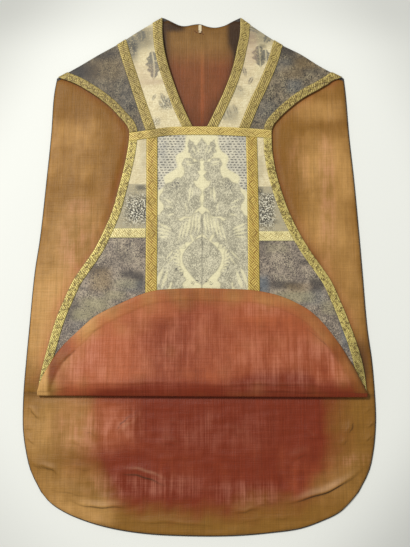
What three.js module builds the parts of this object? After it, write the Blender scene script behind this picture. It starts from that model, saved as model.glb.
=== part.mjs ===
// A roman chasuble laid flat. The back lies underneath with its lining up, the fiddle-shaped front lies
// on it right side up, and the front's lower part is folded up so that its lining shows.
// Millimetres, Z up, shoulders towards +Y. Left and right are as seen from above.
import * as THREE from "three";

// Cloths: how thick each is, and the clearance between sewn pieces
const SHELL = 1.2;
const LINING = 1.1;
const GALLOON = 1.0;
const GAP = 0.3;

// A galloon's facets differ from its panel's, so it lies this much clear of them
const LACE_GAP = 0.4;

// Galloon widths
const NECK_GALLOON = 20;
const SHOULDER_GALLOON = 21;
const COLUMN_GALLOON = 23;
const EDGE_GALLOON = 17;
const CHEST_BAR = 18;
const SHORT_BAR = 20;

// The turned-up hem: how high its crest stands, how far behind the fold, and how far from it the flap
// comes to rest. The fold's roll climbs to the crest in a gentle slope.
const CREST_HEIGHT = 18;
const CREST_AT = 17;
const CREST_RISE = 3;
const ROLL_RISE = 9.5;
const ROLL_PACE = 0.318;
const FLAP_SETTLES = 125;

// The back's lining and the shell that is dipped over it at the shoulders
const LINING_INSET = 1.3;
const SHOULDER_INSET = 2.6;
const SHOULDER_DIP = 2.3;
const DIP_DEPTH = 5;
const LININGS_CLEAR = 5.5;

// The back lining's points are this far apart across, so creases keep as far from the front's edges
const BACK_CELL = 27;

// Heights of the layers, the lowest first
const BACK_LINING_Z = SHELL + GAP;
const FRONT_Z = BACK_LINING_Z + LINING + GAP;
const ON_LINING = LINING + GAP;
const ON_SHELL = ON_LINING + SHELL + LACE_GAP;
const FLAP_Z = FRONT_Z + ON_SHELL + GALLOON + GAP;
const FLAP_REST = FLAP_Z + SHELL + GAP + LINING;
const FOLD_RADIUS = (CREST_HEIGHT - FRONT_Z) / 2;
const FOLD_ARC = Math.PI * FOLD_RADIUS;

// Side edges of the back, from the shoulder tips to where the hem's curve begins
const BACK_SIDES = [
  { y: 392, left: -302, right: 305 },
  { y: 356, left: -307, right: 308 },
  { y: 267, left: -310, right: 312 },
  { y: 169, left: -316, right: 319 },
  { y: 41, left: -325, right: 326 },
  { y: -21, left: -332, right: 329 },
  { y: -143, left: -339, right: 335 },
  { y: -200, left: -342, right: 341 },
  { y: -261, left: -344.5, right: 344 },
  { y: -310, left: -344, right: 344.5 },
  { y: -339, left: -342, right: 342.5 },
  { y: -377, left: -335, right: 337 },
  { y: -414, left: -324, right: 327 },
  { y: -452, left: -303, right: 306 },
];
const BACK_HEM = [
  { x: -303, y: -452 },
  { x: -287, y: -470 },
  { x: -259, y: -488.5 },
  { x: -213, y: -507 },
  { x: -163, y: -520 },
  { x: -101, y: -529 },
  { x: -30, y: -532.8 },
  { x: 65, y: -532.8 },
  { x: 135, y: -527.5 },
  { x: 193, y: -519.5 },
  { x: 231, y: -507 },
  { x: 270, y: -488.5 },
  { x: 290, y: -470 },
  { x: 306, y: -452 },
];
const SHOULDER_LEFT = [
  { x: -302, y: 391 },
  { x: -256, y: 418.5 },
  { x: -214, y: 445.5 },
  { x: -172, y: 470.5 },
  { x: -129, y: 500 },
  { x: -80, y: 530.8 },
];
const SHOULDER_RIGHT = [
  { x: 87, y: 530 },
  { x: 130, y: 498 },
  { x: 175, y: 467.5 },
  { x: 215, y: 446 },
  { x: 257, y: 417.5 },
  { x: 305, y: 391 },
];
const BACK_NECKLINE = [
  { x: -80, y: 530.8 },
  { x: -65, y: 523.5 },
  { x: -43, y: 512.5 },
  { x: -32, y: 511 },
  { x: -10, y: 515 },
  { x: 0, y: 515.5 },
  { x: 18, y: 509.5 },
  { x: 33, y: 507.5 },
  { x: 54, y: 512.5 },
  { x: 70, y: 521.5 },
  { x: 87, y: 530 },
];

// Outer edges of the front: shoulder tip, armhole, waist, then widening to the fold
const FRONT_EDGES = [
  { y: 392, left: -302, right: 305 },
  { y: 386, left: -284, right: 284 },
  { y: 377, left: -262, right: 271 },
  { y: 363, left: -238, right: 248 },
  { y: 346, left: -213, right: 218.5 },
  { y: 325, left: -187.5, right: 191.5 },
  { y: 303, left: -167.6, right: 168.5 },
  { y: 287, left: -153.4, right: 155.2 },
  { y: 274, left: -147.2, right: 150.2 },
  { y: 258, left: -146.6, right: 149.8 },
  { y: 223, left: -150.5, right: 151.2 },
  { y: 180, left: -158.9, right: 158 },
  { y: 137, left: -169, right: 169.6 },
  { y: 100, left: -178.5, right: 182 },
  { y: 58, left: -195, right: 201 },
  { y: 18, left: -214, right: 223.5 },
  { y: -15, left: -235.6, right: 245.8 },
  { y: -42, left: -253, right: 263 },
  { y: -80, left: -269.5, right: 279.5 },
  { y: -115, left: -283, right: 293 },
  { y: -183, left: -301, right: 315 },
  { y: -218, left: -309, right: 322.5 },
  { y: -246, left: -313.5, right: 326 },
  { y: -270, left: -315, right: 327 },
];
const NECK_EDGES = [
  { y: 533, left: -80, right: 87 },
  { y: 494, left: -79.7, right: 86 },
  { y: 454, left: -75.2, right: 79 },
  { y: 413, left: -65.7, right: 70 },
  { y: 368, left: -51, right: 55 },
  { y: 323, left: -34, right: 35.3 },
  { y: 291, left: -19.3, right: 20 },
];
const SHOULDER_SEAMS = [
  { y: 473, left: -166.6, right: 168 },
  { y: 426, left: -152.5, right: 154.5 },
  { y: 378, left: -136.8, right: 135.5 },
  { y: 334, left: -122.3, right: 114.8 },
  { y: 281, left: -104, right: 94 },
];
const COLUMN_SEAMS = [
  { y: 256, left: -99, right: 107.8 },
  { y: 120, left: -97.5, right: 109.2 },
  { y: -52, left: -96.8, right: 109.2 },
];
const CHEST_SEAM = [
  { x: -148, y: 259 },
  { x: -113, y: 264 },
  { x: -68, y: 270.8 },
  { x: 0, y: 272.5 },
  { x: 58, y: 271.2 },
  { x: 113, y: 268.2 },
  { x: 150, y: 265.3 },
];
const SHORT_BAR_Y = { left: 54.5, right: 48.2 };

// The turned-up part: its side edges and its hem, by the distance up from the fold
const FLAP_SIDES = [
  { up: 0, left: -315, right: 327 },
  { up: 27, left: -306, right: 313.5 },
  { up: 49, left: -295, right: 303 },
  { up: 70, left: -283, right: 291.5 },
  { up: 93, left: -266, right: 278 },
];
const FLAP_HEM = [
  { x: -266, up: 93 },
  { x: -239, up: 119.5 },
  { x: -210, up: 146 },
  { x: -180, up: 163 },
  { x: -150, up: 177.5 },
  { x: -120, up: 191 },
  { x: -90, up: 200 },
  { x: -50, up: 204 },
  { x: 0, up: 205.5 },
  { x: 52, up: 204.5 },
  { x: 102, up: 202.5 },
  { x: 132, up: 198 },
  { x: 163, up: 190 },
  { x: 193, up: 177 },
  { x: 222, up: 159.5 },
  { x: 252, up: 129 },
  { x: 278, up: 93 },
];

// Where the front's layers stand off the back: soft mounds on the straps and the chest
const MOUNDS = [
  { x: -60, y: 410, wide: 80, long: 110, high: 5.5 },
  { x: 62, y: 410, wide: 80, long: 110, high: 5.5 },
  { x: -205, y: 392, wide: 60, long: 45, high: 2.2 },
  { x: 208, y: 392, wide: 60, long: 45, high: 2.2 },
  { x: 0, y: 190, wide: 90, long: 70, high: 1.4 },
];

// Creases of the back's lining below and beside the fold: from one end to the other, bowed sideways
const CREASES = [
  { x: -331, y: -398, x2: -262, y2: -422, bow: 5, wide: 9, high: 4 },
  { x: -258, y: -405, x2: -186, y2: -407, bow: -2, wide: 9, high: 1.5 },
  { x: -160, y: -407, x2: -48, y2: -436, bow: 3, wide: 10, high: 4 },
  { x: -256, y: -464, x2: -116, y2: -474, bow: -11, wide: 10, high: 3.5 },
  { x: -310, y: -438, x2: -172, y2: -458, bow: -3, wide: 13, high: 2 },
  { x: -150, y: -502, x2: 52, y2: -512, bow: -4, wide: 8, high: 1.8 },
  { x: 144, y: -474, x2: 328, y2: -396, bow: -11, wide: 11, high: 5 },
  { x: 52, y: -480, x2: 124, y2: -474, bow: -5, wide: 9, high: 2 },
  { x: -126, y: -300, x2: -166, y2: -344, bow: 4, wide: 9, high: 3 },
  { x: -336, y: -290, x2: -306, y2: -318, bow: 2, wide: 8, high: 2.5 },
  { x: 283, y: -350, x2: 298, y2: -312, bow: 3, wide: 9, high: 2.5 },
  { x: 112, y: -330, x2: 118, y2: -455, bow: 0, wide: 11, high: 1.2 },
  { x: -262, y: 36, x2: -244, y2: 2, bow: 2, wide: 9, high: 2.2 },
  { x: 232, y: 200, x2: 262, y2: 130, bow: -3, wide: 12, high: 2.2 },
];

// The hanging loop at the back neck
const LOOP = { x: 0.5, y: 503.5, wide: 6.4, long: 17.6, corner: 2, thick: 1.0 };

// Cloth colours and finishes
const CLOTHS = {
  lining: { color: 0x8f4634, roughness: 0.55, metalness: 0 },
  shell: { color: 0x4a4e55, roughness: 0.75, metalness: 0 },
  silver: { color: 0xbab3a4, roughness: 0.5, metalness: 0.1 },
  cream: { color: 0xd2c6ad, roughness: 0.6, metalness: 0 },
  purple: { color: 0x6a6168, roughness: 0.65, metalness: 0 },
  gold: { color: 0xb7924a, roughness: 0.4, metalness: 0.5 },
  tape: { color: 0xd9cdb4, roughness: 0.8, metalness: 0 },
};

const mix = (a, b, t) => a + (b - a) * t;

function smooth(t) {
  const c = Math.min(1, Math.max(0, t));
  return c * c * (3 - 2 * c);
}

// A smooth curve through a table's rows: gives the column `value` at any place along the column `by`
function curve(table, by, value) {
  const rows = [...table].sort((a, b) => a[by] - b[by]);
  const last = rows.length - 1;
  const rise = (i) => (rows[i + 1][value] - rows[i][value]) / (rows[i + 1][by] - rows[i][by]);
  const slope = rows.map((row, i) => {
    if (i === 0) return rise(0);
    if (i === last) return rise(last - 1);
    return (rise(i - 1) + rise(i)) / 2;
  });
  return (at) => {
    if (at <= rows[0][by]) return rows[0][value] + slope[0] * (at - rows[0][by]);
    if (at >= rows[last][by]) return rows[last][value] + slope[last] * (at - rows[last][by]);
    const i = rows.findIndex((row) => row[by] > at) - 1;
    const span = rows[i + 1][by] - rows[i][by];
    const t = (at - rows[i][by]) / span;
    const bend = (slope[i] * (1 - t) - slope[i + 1] * t) * span * t * (1 - t);
    return mix(rows[i][value], rows[i + 1][value], smooth(t)) + bend;
  };
}

const backLeft = curve(BACK_SIDES, "y", "left");
const backRight = curve(BACK_SIDES, "y", "right");
const backHem = curve(BACK_HEM, "x", "y");
const shoulderLeft = curve(SHOULDER_LEFT, "x", "y");
const shoulderRight = curve(SHOULDER_RIGHT, "x", "y");
const neckline = curve(BACK_NECKLINE, "x", "y");
const frontLeft = curve(FRONT_EDGES, "y", "left");
const frontRight = curve(FRONT_EDGES, "y", "right");
const neckLeft = curve(NECK_EDGES, "y", "left");
const neckRight = curve(NECK_EDGES, "y", "right");
const chestSeam = curve(CHEST_SEAM, "x", "y");
const flapLeft = curve(FLAP_SIDES, "up", "left");
const flapRight = curve(FLAP_SIDES, "up", "right");
const flapHem = curve(FLAP_HEM, "x", "up");

const NECK_X = { left: BACK_NECKLINE[0].x, right: BACK_NECKLINE[BACK_NECKLINE.length - 1].x };

// The fold's line runs a little lower on the right
const foldY = (x) => -264.6 - 0.0055 * x;

function shoulderY(x) {
  return x < 0 ? shoulderLeft(x) : shoulderRight(x);
}

function backTop(x) {
  if (x > NECK_X.left && x < NECK_X.right) return neckline(x);
  return shoulderY(x);
}

// Grids of points over a four-sided panel. left and right give x at a height, top and bottom give y at a
// place across. The first rows lie at the `near` distances below the top, the rest are even.
function grid({ left, right, top, bottom }, columns, rows, near = [0]) {
  const shares = Array.isArray(columns) ? columns : evenly(columns);
  const start = near[near.length - 1];
  return Array.from({ length: near.length + rows }, (_, i) =>
    shares.map((share) => {
      let y = top(0);
      let x = mix(left(y), right(y), share);
      for (let step = 0; step < SETTLING_STEPS; step += 1) {
        const height = top(x) - bottom(x);
        const fall = i < near.length ? near[i] : mix(start, height, (i - near.length + 1) / rows);
        y += (top(x) - fall - y) / 2;
        x = mix(left(y), right(y), share);
      }
      return [x, y];
    }),
  );
}

// Steps in which a grid's point settles between its sides and its top and bottom
const SETTLING_STEPS = 60;

function evenly(count) {
  return Array.from({ length: count + 1 }, (_, i) => i / count);
}

// How far the front's lining stands above the back's, with the dip that closes the shoulder's edge
function lift(x, y) {
  const below = Math.max(0, (shoulderY(x) - SHOULDER_INSET - y) * Math.cos(Math.PI / 6));
  const dip = SHOULDER_DIP * Math.max(0, 1 - below / DIP_DEPTH) ** 2;
  const mounds = MOUNDS.reduce(
    (sum, m) => sum + m.high * Math.exp(-(((x - m.x) / m.wide) ** 2) - ((y - m.y) / m.long) ** 2),
    0,
  );
  return mounds * smooth(below / 60) - dip;
}

// The outer face of the front's lining, along the cloth: flat, round the fold, then back over itself
function liningFace(x, along) {
  if (along <= 0) {
    const y = foldY(x) - along;
    return new THREE.Vector3(x, y, FRONT_Z + lift(x, y));
  }
  if (along < FOLD_ARC) {
    const turn = along / FOLD_RADIUS;
    const climb = ROLL_RISE * Math.sin(ROLL_PACE * (turn - Math.PI / 2));
    const round = -FOLD_RADIUS * Math.cos(turn);
    const z = FRONT_Z + FOLD_RADIUS + (turn < Math.PI / 2 ? round : climb);
    return new THREE.Vector3(x, foldY(x) - FOLD_RADIUS * Math.sin(turn), z);
  }
  const up = along - FOLD_ARC;
  const short = CREST_RISE * Math.max(0, 1 - up / CREST_AT) ** 2;
  const height = mix(CREST_HEIGHT, FLAP_REST, smooth(up / FLAP_SETTLES)) - short;
  return new THREE.Vector3(x, foldY(x) + up, height);
}

// A point of the front at this depth in from its lining's face, towards its right side
function ofFront(x, along, depth) {
  const d = 0.4;
  const across = liningFace(x + d, along).sub(liningFace(x - d, along));
  const down = liningFace(x, along + d).sub(liningFace(x, along - d));
  return liningFace(x, along).addScaledVector(down.cross(across).normalize(), depth);
}

// The height of the back lining's creases, which stay clear of the front that lies on it
function creased(x, y) {
  const beside = y < foldY(x) ? 0 : Math.max(frontLeft(y) - x, x - frontRight(y));
  const below = foldY(x) - FOLD_RADIUS - y;
  const room = smooth(Math.max(beside - BACK_CELL, below - 12) / 14);
  const rim = Math.min(x - backLeft(y), backRight(y) - x, y - backHem(x));
  const height = CREASES.reduce((sum, c) => {
    const length = Math.hypot(c.x2 - c.x, c.y2 - c.y);
    const ux = (c.x2 - c.x) / length;
    const uy = (c.y2 - c.y) / length;
    const t = ((x - c.x) * ux + (y - c.y) * uy) / length;
    const off = (y - c.y) * ux - (x - c.x) * uy - c.bow * 4 * t * (1 - t);
    const ends = smooth(t / 0.25) * smooth((1 - t) / 0.25);
    return sum + c.high * ends * Math.exp(-((off / c.wide) ** 2));
  }, 0);
  return height * room * smooth(rim / 8);
}

// One closed solid between the under and upper points of grids that share their edges' points
function solid(patches) {
  const numbers = new Map();
  const points = [];
  const numberOf = (point) => {
    const key = [...point.under.toArray(), ...point.upper.toArray()].map((n) => Math.round(n * 500)).join();
    if (!numbers.has(key)) {
      numbers.set(key, points.length);
      points.push(point);
    }
    return numbers.get(key);
  };
  const faces = [];
  for (const rows of patches) {
    for (let r = 0; r + 1 < rows.length; r += 1) {
      for (let c = 0; c + 1 < rows[r].length; c += 1) {
        const [a, b, e, f] = [rows[r][c], rows[r][c + 1], rows[r + 1][c + 1], rows[r + 1][c]].map(numberOf);
        faces.push([a, f, e], [a, e, b]);
      }
    }
  }
  const rim = new Map();
  for (const [a, b, c] of faces) {
    for (const [i, j] of [[a, b], [b, c], [c, a]]) {
      if (!rim.delete(`${j},${i}`)) rim.set(`${i},${j}`, [i, j]);
    }
  }
  const n = points.length;
  const index = faces.flatMap(([a, b, c]) => [a, b, c, n + c, n + b, n + a]);
  for (const [i, j] of rim.values()) index.push(j, i, n + i, j, n + i, n + j);
  const corners = [...points.map((p) => p.upper), ...points.map((p) => p.under)];
  if (volume(corners, index) < 0) index.reverse();
  const geometry = new THREE.BufferGeometry().setFromPoints(corners);
  geometry.setIndex(index);
  geometry.computeVertexNormals();
  return geometry;
}

function volume(corners, index) {
  let sum = 0;
  for (let i = 0; i < index.length; i += 3) {
    const [a, b, c] = [corners[index[i]], corners[index[i + 1]], corners[index[i + 2]]];
    sum += a.dot(b.clone().cross(c)) / 6;
  }
  return sum;
}

const group = new THREE.Group();

function addPiece(name, cloth, geometry) {
  const mesh = new THREE.Mesh(geometry, new THREE.MeshStandardMaterial(CLOTHS[cloth]));
  mesh.name = name;
  group.add(mesh);
}

// The part of the front over a grid of flat points, between two depths
function frontSheet(points, low, high) {
  return points.map((row) =>
    row.map(([x, y]) => ({
      under: ofFront(x, foldY(x) - y, low),
      upper: ofFront(x, foldY(x) - y, high),
    })),
  );
}

const shellSheet = (points) => frontSheet(points, ON_LINING, ON_LINING + SHELL);
const galloonSheet = (points) => frontSheet(points, ON_SHELL, ON_SHELL + GALLOON);

const shifted = (line, by) => (at) => line(at) + by;

// A line this far inside another, measured square to its course, whose slope is taken over SLOPE_SPAN
// either way of the foot of the square
const SLOPE_SPAN = 9;
const FOOT_STEPS = 8;

function inside(line, by) {
  return (at) => {
    let foot = at;
    let slope = 0;
    for (let step = 0; step < FOOT_STEPS; step += 1) {
      slope = (line(foot + SLOPE_SPAN) - line(foot - SLOPE_SPAN)) / (2 * SLOPE_SPAN);
      foot = at + (by * slope) / Math.hypot(1, slope);
    }
    return line(foot) + by / Math.hypot(1, slope);
  };
}

// Back: the shell lies face down, flat on the surface, and the lining lies on it
const backShare = ({ x, y }) => (x - backLeft(y)) / (backRight(y) - backLeft(y));
const apexes = [BACK_NECKLINE[0], BACK_NECKLINE[BACK_NECKLINE.length - 1]].map(backShare);

// Places across the back, with one at each shoulder's apex beside the neckline
function backColumns(shoulder, neckwide) {
  const from = evenly(shoulder).map((t) => mix(0, apexes[0], t));
  const over = evenly(neckwide).map((t) => mix(apexes[0], apexes[1], t));
  const to = evenly(shoulder).map((t) => mix(apexes[1], 1, t));
  return [...from, ...over.slice(1, -1), ...to];
}

const HIDDEN_SHARE = 0.72;
const hiddenRows = evenly(9).slice(0, -1).map((t) => t * HIDDEN_SHARE);
const shownRows = evenly(24).map((t) => mix(HIDDEN_SHARE, 1, t));
const backRows = [...hiddenRows, ...shownRows];

const FINE_ROWS = 200;

function backGrid(top, inset, columns, shares) {
  const sides = {
    left: shifted(backLeft, inset),
    right: shifted(backRight, -inset),
    top,
    bottom: shifted(backHem, inset),
  };
  const fine = grid(sides, columns, FINE_ROWS);
  return shares.map((share) => fine[Math.round(share * FINE_ROWS)]);
}

const shellPoints = backGrid(backTop, 0, backColumns(12, 12), evenly(20));
const lastColumn = shellPoints.map((row) => row[row.length - 1]);
const firstColumn = shellPoints.map((row) => row[0]);
const shellOutline = [
  ...firstColumn.slice(0, -1),
  ...shellPoints[shellPoints.length - 1].slice(0, -1),
  ...lastColumn.slice(1).reverse(),
  ...shellPoints[0].slice(1).reverse(),
].map(([x, y]) => new THREE.Vector2(x, y));
const shellShape = new THREE.Shape(shellOutline);
const backShell = new THREE.ExtrudeGeometry(shellShape, { depth: SHELL, bevelEnabled: false });
addPiece("back_shell", "shell", backShell);

function liningTop(x) {
  const under = SHOULDER_INSET + LININGS_CLEAR;
  const open = smooth((x - NECK_X.left - 3) / 10) * smooth((NECK_X.right - 3 - x) / 10);
  return backTop(x) - mix(under, LINING_INSET, open);
}

addPiece("back_lining", "lining", solid([
  backGrid(liningTop, LINING_INSET, backColumns(10, 7), backRows).map((row) =>
    row.map(([x, y]) => {
      const z = BACK_LINING_Z + creased(x, y);
      return { under: new THREE.Vector3(x, y, z), upper: new THREE.Vector3(x, y, z + LINING) };
    }),
  ),
]));

// Front, from the chest up: each strap is a wedge and a band that meet at the shoulder seam
const STRAP_ROWS = 8;
const DIP_ROWS = [0, 1.8, 3.6, DIP_DEPTH + 1, 14, 30, 50];
const LINING_ROWS = [0, 8, 24, 44];
const seam = { left: curve(SHOULDER_SEAMS, "y", "left"), right: curve(SHOULDER_SEAMS, "y", "right") };
const edge = { left: frontLeft, right: frontRight };
const neck = { left: neckLeft, right: neckRight };
const side = { left: -1, right: 1 };

// The outer and inner side lines of a piece on either hand, as its left and right
function between(hand, outer, inner) {
  return hand === "left" ? { left: outer, right: inner } : { left: inner, right: outer };
}

const shoulderTop = (x) => shoulderY(x) - SHOULDER_INSET;
const liningShoulder = (x) => shoulderTop(x) - LININGS_CLEAR;
const chestTop = shifted(chestSeam, CHEST_BAR / 2 + 1);

for (const hand of ["left", "right"]) {
  const way = side[hand];
  const toSeam = { top: shoulderTop, bottom: shifted(chestSeam, GAP / 2) };
  const toBar = { top: shoulderTop, bottom: shifted(chestSeam, CHEST_BAR / 2 + GAP) };
  const wedge = between(hand, edge[hand], shifted(seam[hand], (way * GAP) / 2));
  const band = between(hand, shifted(seam[hand], (-way * GAP) / 2), neck[hand]);
  addPiece(`shoulder_wedge_${hand}`, "purple", solid([
    shellSheet(grid({ ...wedge, ...toSeam }, 4, STRAP_ROWS, DIP_ROWS)),
  ]));
  addPiece(`shoulder_band_${hand}`, "cream", solid([
    shellSheet(grid({ ...band, ...toSeam }, 4, STRAP_ROWS, DIP_ROWS)),
  ]));
  const strips = [
    ["galloon_neck", inside(neck[hand], way * NECK_GALLOON), neck[hand]],
    ["galloon_shoulder",
      inside(seam[hand], (way * SHOULDER_GALLOON) / 2),
      inside(seam[hand], (-way * SHOULDER_GALLOON) / 2)],
    ["galloon_armhole", edge[hand], inside(edge[hand], -way * EDGE_GALLOON)],
  ];
  for (const [name, outer, inner] of strips) {
    addPiece(`${name}_${hand}`, "gold", solid([
      galloonSheet(grid({ ...between(hand, outer, inner), ...toBar }, 2, STRAP_ROWS, DIP_ROWS)),
    ]));
  }
}

// Front lining: the four strap parts, the body down to the fold, round it, and up to the flap's hem
function liningStrap(hand, outer, inner) {
  const bounds = { ...between(hand, outer, inner), top: liningShoulder, bottom: chestTop };
  return grid(bounds, 4, STRAP_ROWS + 3, LINING_ROWS);
}

const strapParts = [
  liningStrap("left", edge.left, seam.left),
  liningStrap("left", seam.left, neck.left),
  liningStrap("right", seam.right, neck.right),
  liningStrap("right", edge.right, seam.right),
];
const chestPoints = strapParts.flatMap((part, i) => part[part.length - 1].slice(i % 2 ? 1 : 0));
const chestShares = chestPoints.map(([x, y]) => (x - frontLeft(y)) / (frontRight(y) - frontLeft(y)));
const body = { left: frontLeft, right: frontRight, top: chestTop, bottom: foldY };
const flap = {
  left: (y) => flapLeft(-y),
  right: (y) => flapRight(-y),
  top: () => 0,
  bottom: (x) => -flapHem(x),
};

const BODY_ROWS = 9;
const FOLD_FACETS = 8;
const FLAP_ROWS = 10;
const CREST_ROWS = [0, 6, 13];
const bodyRows = grid(body, chestShares, BODY_ROWS).map((row) => row.map(([x, y]) => [x, foldY(x) - y]));
const foldTurns = evenly(FOLD_FACETS).slice(1, -1);
const foldRows = foldTurns.map((t) => bodyRows[BODY_ROWS].map(([x]) => [x, t * FOLD_ARC]));
const flapPoints = grid(flap, chestShares, FLAP_ROWS, CREST_ROWS);
const flapRows = flapPoints.map((row) => row.map(([x, y]) => [x, FOLD_ARC - y]));
const wholeLength = [...bodyRows, ...foldRows, ...flapRows];
const liningPoint = ([x, along]) => ({
  under: ofFront(x, along, 0),
  upper: ofFront(x, along, LINING),
});
addPiece("front_lining", "lining", solid([
  ...strapParts.map((part) => frontSheet(part, 0, LINING)),
  wholeLength.map((row) => row.map(liningPoint)),
]));

// Front, from the chest down to inside the fold: the column between two side pieces
const column = { left: curve(COLUMN_SEAMS, "y", "left"), right: curve(COLUMN_SEAMS, "y", "right") };

addPiece("front_column", "silver", solid([
  shellSheet(grid({
    left: shifted(column.left, GAP / 2),
    right: shifted(column.right, -GAP / 2),
    top: shifted(chestSeam, -GAP / 2),
    bottom: foldY,
  }, 6, 22)),
]));

for (const hand of ["left", "right"]) {
  const way = side[hand];
  const barY = SHORT_BAR_Y[hand];
  const sidePiece = between(hand, edge[hand], shifted(column[hand], (way * GAP) / 2));
  const upperSpan = { top: shifted(chestSeam, -GAP / 2), bottom: () => barY + GAP / 2 };
  addPiece(`front_side_upper_${hand}`, "cream", solid([
    shellSheet(grid({ ...sidePiece, ...upperSpan }, 3, 8)),
  ]));
  addPiece(`front_side_lower_${hand}`, "purple", solid([
    shellSheet(grid({ ...sidePiece, top: () => barY - GAP / 2, bottom: foldY }, 4, 14)),
  ]));
  const fromBar = { top: shifted(chestSeam, -CHEST_BAR / 2 - GAP), bottom: foldY };
  const columnStrip = between(
    hand,
    shifted(column[hand], (way * COLUMN_GALLOON) / 2),
    shifted(column[hand], (-way * COLUMN_GALLOON) / 2),
  );
  const sideStrip = between(hand, edge[hand], inside(edge[hand], -way * EDGE_GALLOON));
  const shortStrip = between(
    hand,
    inside(edge[hand], -way * (EDGE_GALLOON + GAP)),
    shifted(column[hand], way * (COLUMN_GALLOON / 2 + GAP)),
  );
  const barSpan = { top: () => barY + SHORT_BAR / 2, bottom: () => barY - SHORT_BAR / 2 };
  const strips = [
    ["galloon_column", { ...columnStrip, ...fromBar }, 2, 22],
    ["galloon_side", { ...sideStrip, ...fromBar }, 2, 26],
    ["galloon_short_bar", { ...shortStrip, ...barSpan }, 4, 2],
  ];
  for (const [name, edges, across, down] of strips) {
    addPiece(`${name}_${hand}`, "gold", solid([galloonSheet(grid(edges, across, down))]));
  }
}

addPiece("galloon_chest_bar", "gold", solid([
  galloonSheet(grid({
    left: frontLeft,
    right: frontRight,
    top: shifted(chestSeam, CHEST_BAR / 2),
    bottom: shifted(chestSeam, -CHEST_BAR / 2),
  }, 16, 2)),
]));

// Turned-up shell inside the fold: full and rounded within, a single layer near its edges
const EDGE_LAYER = 22;
const NOSE_RADIUS = FOLD_RADIUS - ON_LINING;
const NOSE_REACH = Math.sqrt(NOSE_RADIUS ** 2 - (FRONT_Z + FOLD_RADIUS - FLAP_Z) ** 2);

function flapPoint([x, along]) {
  const up = along - FOLD_ARC;
  const rim = Math.min(x - flapLeft(up), flapRight(up) - x, flapHem(x) - up);
  const upper = ofFront(x, along, ON_LINING);
  const layer = ofFront(x, along, ON_LINING + SHELL);
  const reach = up < 0 ? -NOSE_REACH * Math.sin(along / FOLD_RADIUS) : up;
  const filled = new THREE.Vector3(x, foldY(x) + reach, FLAP_Z);
  return { upper, under: layer.lerp(filled, smooth(rim / EDGE_LAYER)) };
}

const noseTurns = foldTurns.filter((t) => t >= 0.5);
const noseRows = noseTurns.map((t) => flapRows[0].map(([x]) => [x, t * FOLD_ARC]));
addPiece("flap_shell", "purple", solid([[...noseRows, ...flapRows].map((row) => row.map(flapPoint))]));

// Hanging loop: a short tape lying on the lining at the back neck
const tape = new THREE.Shape();
const tapeCorners = [[1, 1], [-1, 1], [-1, -1], [1, -1]];
tapeCorners.forEach(([wideWay, longWay], turn) => {
  const x = wideWay * (LOOP.wide / 2 - LOOP.corner);
  const y = longWay * (LOOP.long / 2 - LOOP.corner);
  tape.absarc(x, y, LOOP.corner, (turn * Math.PI) / 2, ((turn + 1) * Math.PI) / 2);
});
const tapeDepth = { depth: LOOP.thick, bevelEnabled: false, curveSegments: 4 };
const tapeBody = new THREE.ExtrudeGeometry(tape, tapeDepth);
tapeBody.translate(LOOP.x, LOOP.y, FRONT_Z);
addPiece("neck_loop", "tape", tapeBody);

export default group;
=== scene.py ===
"""A roman chasuble laid flat: the back underneath with its lining up, the fiddle-shaped front on it,
and the front's lower part folded up so that its lining shows. Tables are in millimetres."""
import math

import bmesh
import bpy
import numpy as np
from mathutils import Matrix, Vector


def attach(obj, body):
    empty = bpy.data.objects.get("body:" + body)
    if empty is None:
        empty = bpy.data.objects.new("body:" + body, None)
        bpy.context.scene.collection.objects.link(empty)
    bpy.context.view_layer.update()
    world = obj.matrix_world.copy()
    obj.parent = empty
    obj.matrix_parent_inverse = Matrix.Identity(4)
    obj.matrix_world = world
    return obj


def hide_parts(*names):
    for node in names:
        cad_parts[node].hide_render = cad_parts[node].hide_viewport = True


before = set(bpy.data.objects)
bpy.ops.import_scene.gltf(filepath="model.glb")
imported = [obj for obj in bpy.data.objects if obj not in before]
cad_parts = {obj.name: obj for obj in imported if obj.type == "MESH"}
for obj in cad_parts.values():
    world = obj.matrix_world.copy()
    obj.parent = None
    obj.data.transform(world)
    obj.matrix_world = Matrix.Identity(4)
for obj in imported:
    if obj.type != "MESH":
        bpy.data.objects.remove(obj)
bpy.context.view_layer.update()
MM = 0.001

# Camera: stands over the garment, a little towards its foot, and sees the whole of it.
# Floor: a pale sheet under it, with painted shade towards its corners. Light: one large soft lamp high on the
# left, and a pale sky.
CAMERA_DISTANCE = 1.413
CAMERA_LEAN = math.radians(9.75)
CAMERA_TARGET = (0.0112, -0.0277, 0.0)
CAMERA_LENS = 46.07
LAMP_PLACE = (-2.1, 1.8, 3.6)
LAMP_SIZE = 1.1
LAMP_POWER = 150
SKY_LIGHT = 0.48

camera = bpy.data.objects.new("camera", bpy.data.cameras.new("camera"))
bpy.context.collection.objects.link(camera)
camera.data.lens = CAMERA_LENS
camera.data.sensor_width = 36
camera.location = (
    CAMERA_TARGET[0],
    CAMERA_TARGET[1] - CAMERA_DISTANCE * math.sin(CAMERA_LEAN),
    CAMERA_DISTANCE * math.cos(CAMERA_LEAN),
)
camera.rotation_euler = (CAMERA_LEAN, 0, 0)
bpy.context.scene.camera = camera
bpy.context.scene.view_settings.view_transform = "Standard"

sky = bpy.data.worlds.new("sky")
sky.use_nodes = True
sky.node_tree.nodes["Background"].inputs["Color"].default_value = (1.0, 1.0, 0.98, 1)
sky.node_tree.nodes["Background"].inputs["Strength"].default_value = SKY_LIGHT
bpy.context.scene.world = sky

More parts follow.
